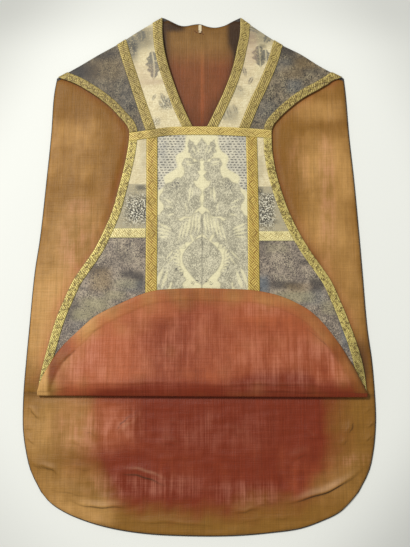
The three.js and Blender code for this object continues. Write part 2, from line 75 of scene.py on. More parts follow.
lamp = bpy.data.objects.new("lamp", bpy.data.lights.new("lamp", "AREA"))
bpy.context.collection.objects.link(lamp)
lamp.data.shape = "DISK"
lamp.data.size = LAMP_SIZE
lamp.data.energy = LAMP_POWER
lamp.data.color = (1.0, 0.98, 0.94)
lamp.location = LAMP_PLACE
lamp.rotation_euler = (-Vector(LAMP_PLACE)).to_track_quat("-Z", "Y").to_euler()


def seen(red, green, blue):
    """A colour as it is seen on a screen, 0 to 255, as the light that a shader works in"""
    parts = [c / 255 for c in (red, green, blue)]
    return (*[c / 12.92 if c < 0.04045 else ((c + 0.055) / 1.055) ** 2.4 for c in parts], 1)


def finish_of(name, roughness, specular=0.5, metallic=0.0):
    """A new material with its shader"""
    material = bpy.data.materials.new(name)
    material.use_nodes = True
    shader = material.node_tree.nodes["Principled BSDF"]
    shader.inputs["Roughness"].default_value = roughness
    shader.inputs["Specular IOR Level"].default_value = specular
    shader.inputs["Metallic"].default_value = metallic
    return material, shader


class Tone:
    """A number that varies over a surface: what a node gives, added and multiplied like a number"""

    def __init__(self, material, kind, *inputs, **settings):
        self.material = material
        made = material.node_tree.nodes.new("ShaderNode" + kind)
        for key, value in settings.items():
            setattr(made, key, value)
        for socket, value in zip(made.inputs, inputs):
            if isinstance(value, Tone):
                material.node_tree.links.new(value.socket, socket)
            elif value is not None:
                socket.default_value = value
        self.node = made
        self.socket = made.outputs[0]

    def math(self, operation, *inputs):
        return Tone(self.material, "Math", *inputs, operation=operation)

    def __add__(self, other):
        return self.math("ADD", self, other)

    def __sub__(self, other):
        return self.math("SUBTRACT", self, other)

    def __rsub__(self, other):
        return self.math("SUBTRACT", other, self)

    def __mul__(self, other):
        return self.math("MULTIPLY", self, other)

    def __truediv__(self, other):
        return self.math("DIVIDE", self, other)

    __radd__ = __add__
    __rmul__ = __mul__

    def size(self):
        return self.math("ABSOLUTE", self)

    def beyond_whole(self):
        return self.math("FRACT", self)

    def whole(self):
        return self.math("FLOOR", self)

    def step(self, low, high):
        """0 up to low, 1 past high, smooth between"""
        return Tone(self.material, "MapRange", self, low, high, 0.0, 1.0, interpolation_type="SMOOTHSTEP")


def value_at(material, name):
    """A value that the mesh carries at its points"""
    tone = Tone(material, "Attribute", attribute_name=name)
    tone.socket = tone.node.outputs["Fac"]
    return tone


def place_at(material, stretch):
    """The place on the object, counted in this many steps to the metre each way"""
    place = Tone(material, "TexCoord")
    place.socket = place.node.outputs["Object"]
    return Tone(material, "Mapping", place, None, None, stretch)


def across_and_up(material):
    """The two places of a point on the object, in metres"""
    across = Tone(material, "SeparateXYZ", place_at(material, (1, 1, 1)))
    up = Tone(material, "SeparateXYZ", place_at(material, (1, 1, 1)))
    up.socket = up.node.outputs[1]
    return across, up


def noise_of(material, stretch, detail=3.0, twist=0.0):
    """Noise over the object, with this many grains to the metre each way"""
    place = place_at(material, stretch)
    return Tone(material, "TexNoise", place, None, 1.0, detail, 0.5, 2.0, 0.0, 1.0, twist)


def mixed(share, first, second):
    """One colour going over into another"""
    tone = Tone(share.material, "Mix", data_type="RGBA")
    for place, value in ((0, share), (6, first), (7, second)):
        if isinstance(value, Tone):
            share.material.node_tree.links.new(value.socket, tone.node.inputs[place])
        else:
            tone.node.inputs[place].default_value = value
    tone.socket = tone.node.outputs[2]
    return tone


def lit(colour, brightness):
    """A colour made brighter or darker from place to place"""
    tone = Tone(colour.material, "HueSaturation")
    links = colour.material.node_tree.links
    links.new(brightness.socket, tone.node.inputs["Value"])
    links.new(colour.socket, tone.node.inputs["Color"])
    return tone


def paint(shader, colour, relief=None, depth=0.0):
    """Gives a shader its colour, and a relief that is this deep, in metres, at a full step"""
    links = colour.material.node_tree.links
    links.new(colour.socket, shader.inputs["Base Color"])
    if relief:
        bump = Tone(colour.material, "Bump")
        bump.node.inputs["Distance"].default_value = depth
        links.new(relief.socket, bump.node.inputs["Height"])
        links.new(bump.socket, shader.inputs["Normal"])


def put(name, mesh_name, shape, material):
    """A new object of this shape, which is used up, and this material"""
    data = bpy.data.meshes.new(mesh_name)
    shape.to_mesh(data)
    shape.free()
    data.materials.append(material)
    made = bpy.data.objects.new(name, data)
    bpy.context.collection.objects.link(made)
    return made


# Half of what the camera sees of the floor, across and up, and the floor's own half-width, in metres
FLOOR_SEEN = (0.47, 0.62)
FLOOR_REACH = 6
FLOOR_CLEAR = 0.5 * MM

floor_paint, floor_shader = finish_of("floor", 0.9, specular=0.1)
# Painted shade on the floor: it darkens towards the corners, along the top, at the lower right and on the
# lamp's side
floor_x, floor_y = across_and_up(floor_paint)
far_x, far_y = floor_x / FLOOR_SEEN[0], floor_y / FLOOR_SEEN[1]
corners = (far_x * far_x + far_y * far_y).step(0.8, 1.6)
near_lamp = (floor_y * 0.7 - floor_x).step(0.5, 0.9)
far_top, near_right = floor_y.step(0.44, 0.56), (floor_x - floor_y).step(0.7, 1.0)
shade = corners * 0.18 + near_lamp * 0.14 + far_top * 0.09 + near_right * 0.14
paint(floor_shader, mixed(shade, seen(236, 238, 233), (0, 0, 0, 1)))
floor_mesh = bmesh.new()
bmesh.ops.create_grid(floor_mesh, x_segments=1, y_segments=1, size=FLOOR_REACH)
bmesh.ops.translate(floor_mesh, verts=floor_mesh.verts, vec=(0, 0, -FLOOR_CLEAR))
put("floor", "floor", floor_mesh, floor_paint)


# Back: one wide piece of figured silk, face down, and its glazed lining, bagged out to the same edge.
# The lining shows below, beside and within the front, brick red in the middle and faded to tan
# towards the edges, with the creases of long storage and their light and shade painted on, and
# painted shade beside the front and in the neck.
SHELL = 1.2
LINING = 1.1
GAP = 0.3
BACK_LINING_Z = SHELL + GAP
LINING_INSET = 2.0
SHOULDER_INSET = 2.6
LININGS_CLEAR = 5.5
LINING_TOP = SHOULDER_INSET + LININGS_CLEAR
BACK_SEAM = 5.5

# Rows of (height, left edge, right edge)
BACK_SIDES = [
    (392, -302, 305),
    (356, -307, 308),
    (267, -310, 312),
    (169, -316, 319),
    (41, -325, 326),
    (-21, -332, 329),
    (-143, -339, 335),
    (-200, -342, 341),
    (-261, -344.5, 344),
    (-310, -344, 344.5),
    (-339, -342, 342.5),
    (-377, -335, 337),
    (-414, -324, 327),
    (-452, -303, 306),
]
# Rows of (across, height)
BACK_HEM = [
    (-303, -452),
    (-287, -470),
    (-259, -488.5),
    (-213, -507),
    (-163, -520),
    (-101, -529),
    (-30, -532.8),
    (65, -532.8),
    (135, -527.5),
    (193, -519.5),
    (231, -507),
    (270, -488.5),
    (290, -470),
    (306, -452),
]
SHOULDER_LEFT = [(-302, 391), (-256, 418.5), (-214, 445.5), (-172, 470.5), (-129, 500), (-80, 530.8)]
SHOULDER_RIGHT = [(87, 530), (130, 498), (175, 467.5), (215, 446), (257, 417.5), (305, 391)]
BACK_NECKLINE = [
    (-80, 530.8),
    (-65, 523.5),
    (-43, 512.5),
    (-32, 511),
    (-10, 515),
    (0, 515.5),
    (18, 509.5),
    (33, 507.5),
    (54, 512.5),
    (70, 521.5),
    (87, 530),
]
# Outer edges of the front, as rows of (height, left edge, right edge)
FRONT_EDGES = [
    (392, -302, 305),
    (386, -284, 284),
    (377, -262, 271),
    (363, -238, 248),
    (346, -213, 218.5),
    (325, -187.5, 191.5),
    (303, -167.6, 168.5),
    (287, -153.4, 155.2),
    (274, -147.2, 150.2),
    (258, -146.6, 149.8),
    (223, -150.5, 151.2),
    (180, -158.9, 158),
    (137, -169, 169.6),
    (100, -178.5, 182),
    (58, -195, 201),
    (18, -214, 223.5),
    (-15, -235.6, 245.8),
    (-42, -253, 263),
    (-80, -269.5, 279.5),
    (-115, -283, 293),
    (-183, -301, 315),
    (-218, -309, 322.5),
    (-246, -313.5, 326),
    (-270, -315, 327),
]
NECK_EDGES = [
    (533, -80, 87),
    (494, -79.7, 86),
    (454, -75.2, 79),
    (413, -65.7, 70),
    (368, -51, 55),
    (323, -34, 35.3),
    (291, -19.3, 20),
]
# Rows of (from x, y, to x, y, bow, width above the line, width below it, height)
BACK_CREASES = [
    (-331, -398, -262, -422, 5, 13, 3, 4.4),
    (-258, -403, -186, -405, -2, 12, 5, 1.6),
    (-166, -403, -44, -434, 3, 6, 13, 4.2),
    (-262, -460, -112, -474, -11, 13, 3, 4.0),
    (-310, -436, -172, -456, -3, 14, 9, 1.8),
    (-160, -499, 58, -509, -4, 7, 3, 2.0),
    (58, -509, 150, -500, 3, 7, 3, 1.2),
    (144, -478, 332, -398, -12, 14, 3, 5.6),
    (52, -484, 126, -477, -5, 9, 3, 2.4),
    (-126, -298, -168, -346, 4, 9, 5, 3.4),
    (-112, -292, -138, -326, 2, 6, 4, 1.8),
    (-340, -288, -304, -320, 2, 9, 3, 2.8),
    (283, -352, 300, -310, 3, 6, 8, 3.0),
    (270, -370, 288, -346, 2, 4, 6, 1.8),
    (112, -290, 119, -470, 0, 6, 6, 1.1),
    (104, -477, 138, -474, 1, 6, 3, 1.6),
    (118, -463, 148, -471, -2, 6, 3, 1.6),
    (126, -499, 184, -497, 0, 6, 3, 1.4),
    (-238, 24, -222, -14, 2, 6, 4, 1.6),
    (236, 214, 262, 172, -3, 14, 8, 1.6),
    (200, 135, 254, 155, 4, 12, 8, 1.8),
    (206, 287, 268, 291, -3, 12, 8, 1.6),
    (-242, 115, -214, 103, 1, 6, 4, 2.0),
    (-272, 40, -244, 12, 1, 6, 4, 2.0),
    (-332, -4, -282, -5, 1, 6, 3, 1.4),
    (322, -330, 345, -322, 1, 5, 3, 2.2),
    (318, -356, 343, -348, 1, 5, 3, 2.4),
    (316, -300, 344, -296, 1, 5, 3, 1.6),
    (322, -268, 344, -266, 1, 5, 3, 1.4),
    (-344, -330, -318, -337, 1, 5, 3, 2.2),
    (-341, -352, -310, -362, 1, 5, 3, 2.2),
    (-345, -246, -328, -243, 0, 4, 3, 1.4),
    (-344, -212, -326, -210, 0, 4, 3, 1.4),
    (-340, -180, -322, -178, 0, 4, 3, 1.2),
    (-338, -150, -318, -149, 0, 4, 3, 1.2),
    (-312, 300, -292, 298, 0, 4, 3, 1.2),
    (-313, 270, -288, 268, 0, 4, 3, 1.4),
    (-314, 236, -284, 236, 0, 5, 3, 1.4),
    (-316, 205, -290, 202, 0, 4, 3, 1.2),
    (36, -330, 100, -352, 4, 12, 8, 1.5),
    (-92, -350, -24, -374, 5, 12, 8, 1.5),
    (-70, -318, -20, -330, 3, 9, 7, 1.1),
    (160, -402, 232, -372, 6, 14, 8, 1.7),
    (200, -330, 236, -352, -4, 8, 6, 1.4),
    (-230, -330, -190, -352, 3, 8, 6, 1.8),
    (-250, -350, -214, -376, 2, 7, 5, 1.4),
    (-30, -440, 60, -452, -3, 10, 7, 1.2),
]
# Where the lining is faded, as rows of (across, height, half-width, half-height, how much)
BACK_FADED = [
    (-262, 265, 70, 40, 0.45),
    (-255, 40, 90, 110, 0.45),
    (-262, 196, 75, 34, 0.34),
    (-275, -130, 70, 115, 0.95),
    (-322, -340, 40, 60, 0.5),
    (-225, -490, 70, 26, 0.6),
    (250, 215, 55, 60, 0.5),
    (255, 80, 60, 60, 0.5),
    (262, 196, 60, 34, 0.25),
    (268, 148, 60, 24, 0.3),
    (262, 318, 60, 24, 0.35),
    (285, -60, 50, 130, 0.45),
    (228, 342, 66, 50, 0.25),
    (310, 200, 30, 80, 0.4),
    (-205, -325, 90, 55, 0.6),
    (-255, -440, 80, 40, 0.35),
    (250, -420, 90, 50, 0.25),
    (0, 400, 90, 110, 0.42),
    (20, -400, 150, 40, 0.12),
]
# Where its red middle is tanned, in the same way
BACK_TANNED = [(250, -447, 46, 34, 0.3), (125, -470, 60, 26, 0.35)]
# Where its glaze is left, with a painted sheen on it, in the same way
BACK_SHEEN = [
    (-248, 22, 34, 60, 0.9),
    (-262, -150, 50, 120, 0.5),
    (262, 130, 16, 130, 0.9),
    (206, 205, 20, 50, 0.4),
    (-222, -340, 60, 36, 0.9),
    (-150, -325, 40, 30, 0.8),
    (60, -335, 90, 40, 0.25),
    (-30, -345, 60, 30, 0.2),
    (-110, -440, 110, 22, 0.6),
    (90, -455, 60, 22, 0.6),
    (300, -392, 40, 10, 0.8),
    (-240, 110, 30, 16, 0.7),
]
# Where it lies in shade, at the neck's corners and beside the turned-up hem
BACK_SHADED = [(-52, 510, 20, 12, 0.5), (80, 498, 20, 40, 0.6), (324, -200, 14, 44, 0.45)]


def smooth(t):
    t = np.clip(t, 0, 1)
    return t * t * (3 - 2 * t)


def curve(rows, column=1):
    """A smooth line through rows of a table, from the first column to another, straight past its ends"""
    at, value = np.array(sorted((row[0], row[column]) for row in rows), float).T
    rise = np.diff(value) / np.diff(at)
    slope = np.concatenate([rise[:1], (rise[1:] + rise[:-1]) / 2, rise[-1:]])

    def line(place):
        place = np.asarray(place, float)
        i = np.clip(np.searchsorted(at, place, "right") - 1, 0, len(at) - 2)
        span = at[i + 1] - at[i]
        t = np.clip((place - at[i]) / span, 0, 1)
        bend = (slope[i] * (1 - t) - slope[i + 1] * t) * span * t * (1 - t)
        past = np.minimum(place - at[0], 0) * slope[0] + np.maximum(place - at[-1], 0) * slope[-1]
        return value[i] + (value[i + 1] - value[i]) * smooth(t) + bend + past

    return line


def shifted(line, by):
    return lambda place: line(place) + by


FOOT_STEPS, SLOPE_SPAN = 8, 9


def within(line, by):
    """A line this far inside another, measured square to its course"""
    def inner(place):
        foot = place
        for _ in range(FOOT_STEPS):
            slope = (line(foot + SLOPE_SPAN) - line(foot - SLOPE_SPAN)) / (2 * SLOPE_SPAN)
            foot = place + by * slope / np.hypot(1, slope)
        return line(foot) + by / np.hypot(1, slope)

    return inner


SETTLING_ROUNDS = 45


def settle(left, right, top, bottom, across, down):
    """Points these shares of the way across and down a four-sided piece of cloth"""
    y = np.full(across.shape, float(top(0)))
    x = left(y) + (right(y) - left(y)) * across
    for _ in range(SETTLING_ROUNDS):
        high = top(x)
        y = y + (high + (bottom(x) - high) * down - y) / 2
        x = left(y) + (right(y) - left(y)) * across
    return x, y


def ripple(x, y, wave, seed):
    """Soft unevenness from -1 to 1, about one rise in each wave's length"""
    draw = np.random.default_rng(seed)
    total = 0
    for turn, size, start in draw.random((9, 3)):
        pace = 2 * math.pi / (wave * (0.7 + 0.8 * size))
        total = total + np.sin(pace * (x * math.cos(6.3 * turn) + y * math.sin(6.3 * turn)) + 6.3 * start)
    return total / 4


def creases(x, y, rows):
    """The height of the creases, and the light painted on them: a painted highlight on the ridge, painted
    shade at the foot
    """
    total, marks = 0, 0
    for x1, y1, x2, y2, bow, above, below, high in rows:
        length = math.hypot(x2 - x1, y2 - y1)
        ux, uy = (x2 - x1) / length, (y2 - y1) / length
        t = ((x - x1) * ux + (y - y1) * uy) / length
        wave = 1.6 * np.sin(9 * t + x1) + 0.8 * np.sin(23 * t + y1)
        off = (y - y1) * ux - (x - x1) * uy - bow * 4 * t * (1 - t) - wave * min(1, high / 2)
        strength = high * smooth(t / 0.45) * smooth((1 - t) / 0.45)
        width = np.where(off > 0, 1.5 * above, below)
        total = total + 0.6 * strength * np.exp(-((off / width) ** 2))
        ridge = np.exp(-(((off - 0.4 * above) / (0.6 * above)) ** 2))
        foot = np.exp(-(((off + 0.8 * below) / 1.7) ** 2))
        marks = marks + strength * (0.06 * ridge - 0.2 * foot)
    return total, marks


def spots(x, y, rows):
    """How far a point lies in soft round spots, 0 to 1"""
    left = 1.0
    for cx, cy, wide, long, amount in rows:
        left = left * (1 - amount * np.exp(-(((x - cx) / wide) ** 4) - ((y - cy) / long) ** 4))
    return 1 - left


def cloth_mesh(columns, rows, place):
    """A grid of cloth, its points placed by their shares of the way across and down"""
    grid = bmesh.new()
    bmesh.ops.create_grid(grid, x_segments=len(columns) - 1, y_segments=len(rows) - 1, size=0.5)
    mesh = bpy.data.meshes.new("cloth")
    grid.to_mesh(mesh)
    grid.free()
    flat = np.empty(len(mesh.vertices) * 3)
    mesh.vertices.foreach_get("co", flat)
    flat = flat.reshape(-1, 3)
    share = (flat - flat.min(axis=0)) / np.maximum(np.ptp(flat, axis=0), 1e-9)
    column = np.rint(share[:, 0] * (len(columns) - 1)).astype(int)
    row = np.rint((1 - share[:, 1]) * (len(rows) - 1)).astype(int)
    points, notes = place(columns[column], rows[row])
    mesh.vertices.foreach_set("co", (np.stack(points, axis=1) * MM).ravel())
    for name, values in notes.items():
        kept = mesh.attributes.new(name, "FLOAT", "POINT")
        kept.data.foreach_set("value", np.broadcast_to(values, len(column)))
    return mesh


def cut_area(columns, rows, plan):
    """The flat area of a piece and its width and length, in metres, from the outline of its cut"""
    edge = np.concatenate([
        np.stack([np.zeros(len(rows)), rows], axis=1),
        np.stack([columns, np.full(len(columns), rows[-1])], axis=1),
        np.stack([np.ones(len(rows)), rows[::-1]], axis=1),
        np.stack([columns[::-1], np.full(len(columns), rows[0])], axis=1),
    ])
    x, y = plan(edge[:, 0], edge[:, 1])
    area = abs(np.sum(x * np.roll(y, -1) - y * np.roll(x, -1))) / 2 * MM * MM
    return area, (np.ptp(x) * MM, np.ptp(y) * MM)


WELD = 0.02 * MM


def sew(name, meshes, thick, material, turned=False):
    """One piece of cloth from its grids: joined, thickened inwards, and put in the place of its plain part"""
    joined = bmesh.new()
    for mesh in meshes:
        joined.from_mesh(mesh)
    if len(meshes) > 1:
        bmesh.ops.remove_doubles(joined, verts=joined.verts, dist=WELD)
    if turned:
        bmesh.ops.reverse_faces(joined, faces=joined.faces)
    for face in joined.faces:
        face.smooth = True
    piece = put(f"{name}_cloth", name, joined, material)
    body = piece.modifiers.new("thickness", "SOLIDIFY")
    body.thickness = thick * MM
    body.offset = -1
    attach(piece, "root")
    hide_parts(name)


back_left, back_right = curve(BACK_SIDES), curve(BACK_SIDES, 2)
back_hem = curve(BACK_HEM)
shoulder_left, shoulder_right = curve(SHOULDER_LEFT), curve(SHOULDER_RIGHT)
neckline = curve(BACK_NECKLINE)
front_left, front_right = curve(FRONT_EDGES), curve(FRONT_EDGES, 2)
neck_left, neck_right = curve(NECK_EDGES), curve(NECK_EDGES, 2)
NECK_FROM, NECK_TO = BACK_NECKLINE[0][0], BACK_NECKLINE[-1][0]


def fold_y(x):
    """The fold's line, a little lower on the right"""
    return -264.6 - 0.0055 * x


def shoulder_y(x):
    return np.where(x < 0, shoulder_left(x), shoulder_right(x))


def back_top(x):
    return np.where((x > NECK_FROM) & (x < NECK_TO), neckline(x), shoulder_y(x))


def lining_top(x):
    open_neck = smooth((x - NECK_FROM - 3) / 10) * smooth((NECK_TO - 3 - x) / 10)
    return back_top(x) - LINING_TOP + (LINING_TOP - LINING_INSET) * open_neck


def back_rim(x, y):
    """How far a point lies inside the back's side edges and hem"""
    return np.minimum(np.minimum(x - back_left(y), back_right(y) - x), y - back_hem(x))


def beside_front(x, y):
    """How far a point lies outside the front's side edges"""
    return np.maximum(front_left(y) - x, x - front_right(y))


def back_relief(x, y):
    """The lining's creases and unevenness, clear of the front that lies on it, and its marks: light and shade
    painted on the creases, painted shade beside the front's edges and in the neck, and a pale seam line
    """
    beside = np.where(y < fold_y(x), 0, beside_front(x, y))
    room = smooth(np.maximum(beside - 5, fold_y(x) - 10 - y) / 12)
    rim = back_rim(x, y)
    soft = 0.9 * (1 + ripple(x, y, 90, 3)) + 0.25 * (1 + ripple(x, y, 26, 5))
    soft = soft + 0.35 * (1 + ripple(x / 3, y, 21, 6)) + 0.2 * (1 + ripple(x, y / 4, 17, 4))
    puckers = 0.45 * (1 + ripple(x / 4, y, 13, 7)) * np.exp(-np.maximum(rim, 0) / 16) * (y < 370)
    height, marks = creases(x, y, BACK_CREASES)
    # Painted shade: beside the front's side edges, and in the neck opening along the neck edges and at its
    # corners
    edge = np.exp(-np.maximum(beside, 0) / 4) * smooth((y - fold_y(x) + 20) / 20)
    inside = np.minimum(x - neck_left(y), neck_right(y) - x)
    neck_shade = (0.2 + 0.6 * smooth((y - 410) / 70)) * (1 + 0.4 * (x > 0)) * (np.abs(x) < 95) * (y > 280)
    dark = neck_shade * np.exp(-np.maximum(inside, 0) / 6.5) + spots(x, y, BACK_SHADED)
    seam = 0.34 * np.exp(-(((x - BACK_SEAM) / 2.6) ** 2)) * smooth((478 - y) / 60) * smooth((y - 280) / 20)
    return (height + soft + puckers) * room * smooth(rim / 7), marks * room - 0.42 * edge - dark + seam


def back_tones(x, y):
    """Where the back's lining is still red: by the front's edge, in the neck and in the middle below"""
    rim, beside = back_rim(x, y), beside_front(x, y)
    wander = 9 * ripple(x, y, 60, 8) + 5 * ripple(x, y, 20, 9)
    leftward, rightward = smooth((-130 - x) / 100), smooth((x - 170) / 100)
    low = (rim - 12 - 22 * leftward - 8 * rightward + 0.6 * wander) / (62 + 80 * leftward + 56 * rightward)
    low = np.clip(low, 0, 1) * smooth((fold_y(x) + 10 - y) / 20)
    low = low * (1 - 0.25 * np.exp(-(((x + 225) / 60) ** 2)))
    low = low * (1 - spots(x, y, BACK_TANNED))
    neck = 0.68 * smooth((492 - y) / 90) * smooth((y - 250) / 20) * smooth((90 - np.abs(x)) / 10)
    sides = 0.42 * np.exp(-np.maximum(beside + wander / 2, 0) / 26) * smooth((y - fold_y(x)) / 20)
    return np.maximum(np.maximum(low, neck), sides * (np.abs(x) > 90))


def back_cut(inset, top):
    def plan(across, down):
        sides = shifted(back_left, inset), shifted(back_right, -inset)
        return settle(*sides, top, shifted(back_hem, inset), across, down)

    return plan


def lining_finish(name):
    """Glazed cotton, brick red faded to tan, with slubs and streaks both ways, a worn glaze with painted
    sheen, and painted shade and highlights where the marks carry them
    """
    material, shader = finish_of(name, 0.5, specular=0.25)
    red, faded, glazed, marks = (value_at(material, key) for key in ("red", "faded", "glazed", "marks"))
    cloud = noise_of(material, (14, 14, 14), 5)
    patches = noise_of(material, (52, 24, 42), 4)
    down_streaks = noise_of(material, (420, 8, 20), 3)
    cross_streaks = noise_of(material, (11, 400, 20), 3)
    weave = noise_of(material, (700, 90, 60), 2) + noise_of(material, (90, 700, 60), 2)
    redness = (red + (cloud - 0.5) * 0.34 + (patches - 0.5) * 0.2).step(0.02, 0.98)
    fading = (faded + (cloud - 0.5) * 0.4 + (patches - 0.5) * 0.4).step(0.0, 1.0)
    tan = mixed(fading, seen(134, 92, 31), seen(198, 151, 88))
    brick = mixed(fading, seen(120, 42, 13), seen(174, 92, 52))
    # Painted sheen: pinkish highlights laid into the colour where the glaze is left
    shine = glazed * (patches * 1.2 + down_streaks * 0.9 + cross_streaks * 0.3).step(0.95, 1.6)
    sheened = mixed(shine * 0.5, mixed(redness, tan, brick), seen(206, 142, 118))
    # Painted shade from negative marks: at the creases' feet, beside the front's edges, in the neck and at
    # the flap's right rim. Painted highlights from positive marks on the creases' ridges, which also carry a
    # pale seam line
    crease_shaded = mixed((marks * -1).step(0.0, 1.0), sheened, seen(58, 37, 15))
    ridge_highlit = mixed(marks.step(0.0, 1.0), crease_shaded, seen(232, 190, 150))
    threads = down_streaks * 0.52 + cross_streaks * 0.3 + weave * 0.16 + patches * 0.16
    paint(shader, lit(ridge_highlit, threads + 0.35), weave + down_streaks + cross_streaks, 0.0004)
    return material


lining_cloth = lining_finish("lining")
shell_cloth, shell_shader = finish_of("shell_edge", 0.8)
paint(shell_shader, mixed(noise_of(shell_cloth, (300, 300, 300)), seen(38, 34, 32), seen(80, 74, 68)))

columns, rows = np.linspace(0, 1, 121), np.linspace(0, 1, 101)
back_shell_plan = back_cut(0, back_top)


def place_back_shell(across, down):
    x, y = back_shell_plan(across, down)
    return (x, y, np.full(x.shape, SHELL)), {}


area, flat = cut_area(columns, rows, back_shell_plan)
sew("back_shell", [cloth_mesh(columns, rows, place_back_shell)], SHELL, shell_cloth)

back_lining_plan = back_cut(LINING_INSET, lining_top)


def place_back_lining(across, down):
    x, y = back_lining_plan(across, down)
    height, marks = back_relief(x, y)
    notes = {
        "red": back_tones(x, y),
        "faded": spots(x, y, BACK_FADED),
        "glazed": spots(x, y, BACK_SHEEN),
        "marks": marks,
    }
    return (x, y, BACK_LINING_Z + LINING + height), notes


# The rows lie closer below the fold, where the creases show
columns = np.linspace(0, 1, 171)
rows = np.concatenate([np.linspace(0, 0.745, 121)[:-1], np.linspace(0.745, 1, 141)])
area, flat = cut_area(columns, rows, back_lining_plan)
sew("back_lining", [cloth_mesh(columns, rows, place_back_lining)], LINING, lining_cloth)


# Front lining: the same glazed cotton, cut to the front's shape. It goes round the fold and shows,
# right side up, on the turned-up part, whose hem has its allowance turned in under it.
FRONT_Z = BACK_LINING_Z + LINING + GAP
LACE_GAP = 0.4
ON_LINING = LINING + GAP
ON_SHELL = ON_LINING + SHELL + LACE_GAP
GALLOON = 1.0
FLAP_Z = FRONT_Z + ON_SHELL + GALLOON + GAP
FLAP_REST = FLAP_Z + SHELL + GAP + LINING
CREST_HEIGHT = 18
CREST_AT = 17
CREST_RISE = 3
ROLL_RISE = 9.5
ROLL_PACE = 0.318
FOLD_RADIUS = (CREST_HEIGHT - FRONT_Z) / 2
FOLD_ARC = math.pi * FOLD_RADIUS
FLAP_SETTLES = 125
SHOULDER_DIP = 2.3
DIP_DEPTH = 5
CHEST_BAR = 18
HEM_ALLOWANCE = 25

SHOULDER_SEAMS = [
    (473, -166.6, 168),
    (426, -152.5, 154.5),
    (378, -136.8, 135.5),
    (334, -122.3, 114.8),
    (281, -104, 94),
]
COLUMN_SEAMS = [
    (256, -99, 107.8),
    (120, -97.5, 109.2),
    (-52, -96.8, 109.2),
]
CHEST_SEAM = [
    (-148, 259),
    (-113, 264),
    (-68, 270.8),
    (0, 272.5),
    (58, 271.2),
    (113, 268.2),
    (150, 265.3),
]
# The turned-up part, by its distance up from the fold
FLAP_SIDES = [(0, -315, 327), (27, -306, 313.5), (49, -295, 303), (70, -283, 291.5), (93, -266, 278)]
FLAP_HEM = [
    (-266, 93),
    (-239, 119.5),
    (-210, 146),
    (-180, 163),
    (-150, 177.5),
    (-120, 191),
    (-90, 200),
    (-50, 204),
    (0, 205.5),
    (52, 204.5),
    (102, 202.5),
    (132, 198),
    (163, 190),
    (193, 177),
    (222, 159.5),
    (252, 129),
    (278, 93),
]
# Rows of (across, height, half-width, half-length, rise)
MOUNDS = [
    (-60, 410, 80, 110, 5.5),
    (62, 410, 80, 110, 5.5),
    (-205, 392, 60, 45, 2.2),
    (208, 392, 60, 45, 2.2),
    (0, 190, 90, 70, 1.4),
]
# Creases of the flap, as the back's are, heights counted up from the fold
FLAP_CREASES = [
    (-60, 17, 326, 15, 0, 4, 3, 1.9),
    (-306, 18, 30, 18, 0, 4, 3, 1.5),
    (30, 4, 322, 3, 0, 4, 3, 1.5),
    (180, 27, 318, 20, 1, 5, 4, 0.9),
    (-300, 5, -236, 8, 1, 5, 3, 1.2),
    (-282, 40, -232, 86, 8, 8, 4, 1.5),
    (-260, 84, -170, 138, 8, 8, 5, 1.0),
    (196, 142, 266, 72, 7, 9, 5, 1.6),
    (250, 78, 282, 34, 3, 8, 4, 1.2),
    (96, 170, 160, 154, 4, 8, 5, 1.0),
    (-220, 36, -150, 44, 3, 9, 8, 0.8),
    (-240, 54, -226, 14, 0, 4, 4, 0.9),
    (-60, 106, 40, 90, 5, 14, 12, 0.7),
    (90, 62, 190, 70, -4, 12, 10, 0.7),
    (104, 44, 112, 90, 0, 4, 4, 0.7),
    (-8, 198, -6, 54, 0, 5, 5, 0.5),
    (150, 186, 148, 64, 0, 5, 5, 0.4),
]
FLAP_FADED = [
    (-195, 70, 85, 80, 0.5),
    (140, 80, 120, 90, 0.2),
    (-60, 100, 110, 70, 0.06),
    (-100, 170, 60, 30, 0.3),
    (110, 165, 60, 30, 0.25),
    (-205, 125, 50, 40, 0.4),
    (276, 48, 24, 22, 0.25),
]
# Where the flap's glaze is left, with a painted sheen on it, as on the back
FLAP_SHEEN = [
    (-230, 70, 70, 50, 0.85),
    (-60, 110, 130, 60, 0.4),
    (-90, 60, 60, 60, 0.25),
    (225, 62, 45, 45, 0.6),
    (274, 50, 28, 28, 0.95),
    (130, 60, 80, 60, 0.5),
    (120, 165, 60, 16, 0.6),
]

seam_left, seam_right = curve(SHOULDER_SEAMS), curve(SHOULDER_SEAMS, 2)
chest_seam = curve(CHEST_SEAM)
chest_top = shifted(chest_seam, CHEST_BAR / 2 + 1)
flap_left, flap_right = curve(FLAP_SIDES), curve(FLAP_SIDES, 2)
flap_hem = curve(FLAP_HEM)


def flap_rim(x, up):
    """How far a point of the flap lies inside its hem"""
    slope = (flap_hem(x + 1) - flap_hem(x - 1)) / 2
    sides = np.minimum(x - flap_left(up), flap_right(up) - x)
    return np.minimum((flap_hem(x) - up) / np.hypot(1, slope), sides)


def lift(x, y):
    """How far the front's lining stands above the back's, dipping at the shoulder's edge"""
    below = np.maximum(0, (shoulder_y(x) - SHOULDER_INSET - y) * math.cos(math.pi / 6))
    dip = SHOULDER_DIP * np.maximum(0, 1 - below / DIP_DEPTH) ** 2
    rise = 0
    for cx, cy, wide, long, high in MOUNDS:
        rise = rise + high * np.exp(-(((x - cx) / wide) ** 2) - ((y - cy) / long) ** 2)
    return rise * smooth(below / 60) - dip


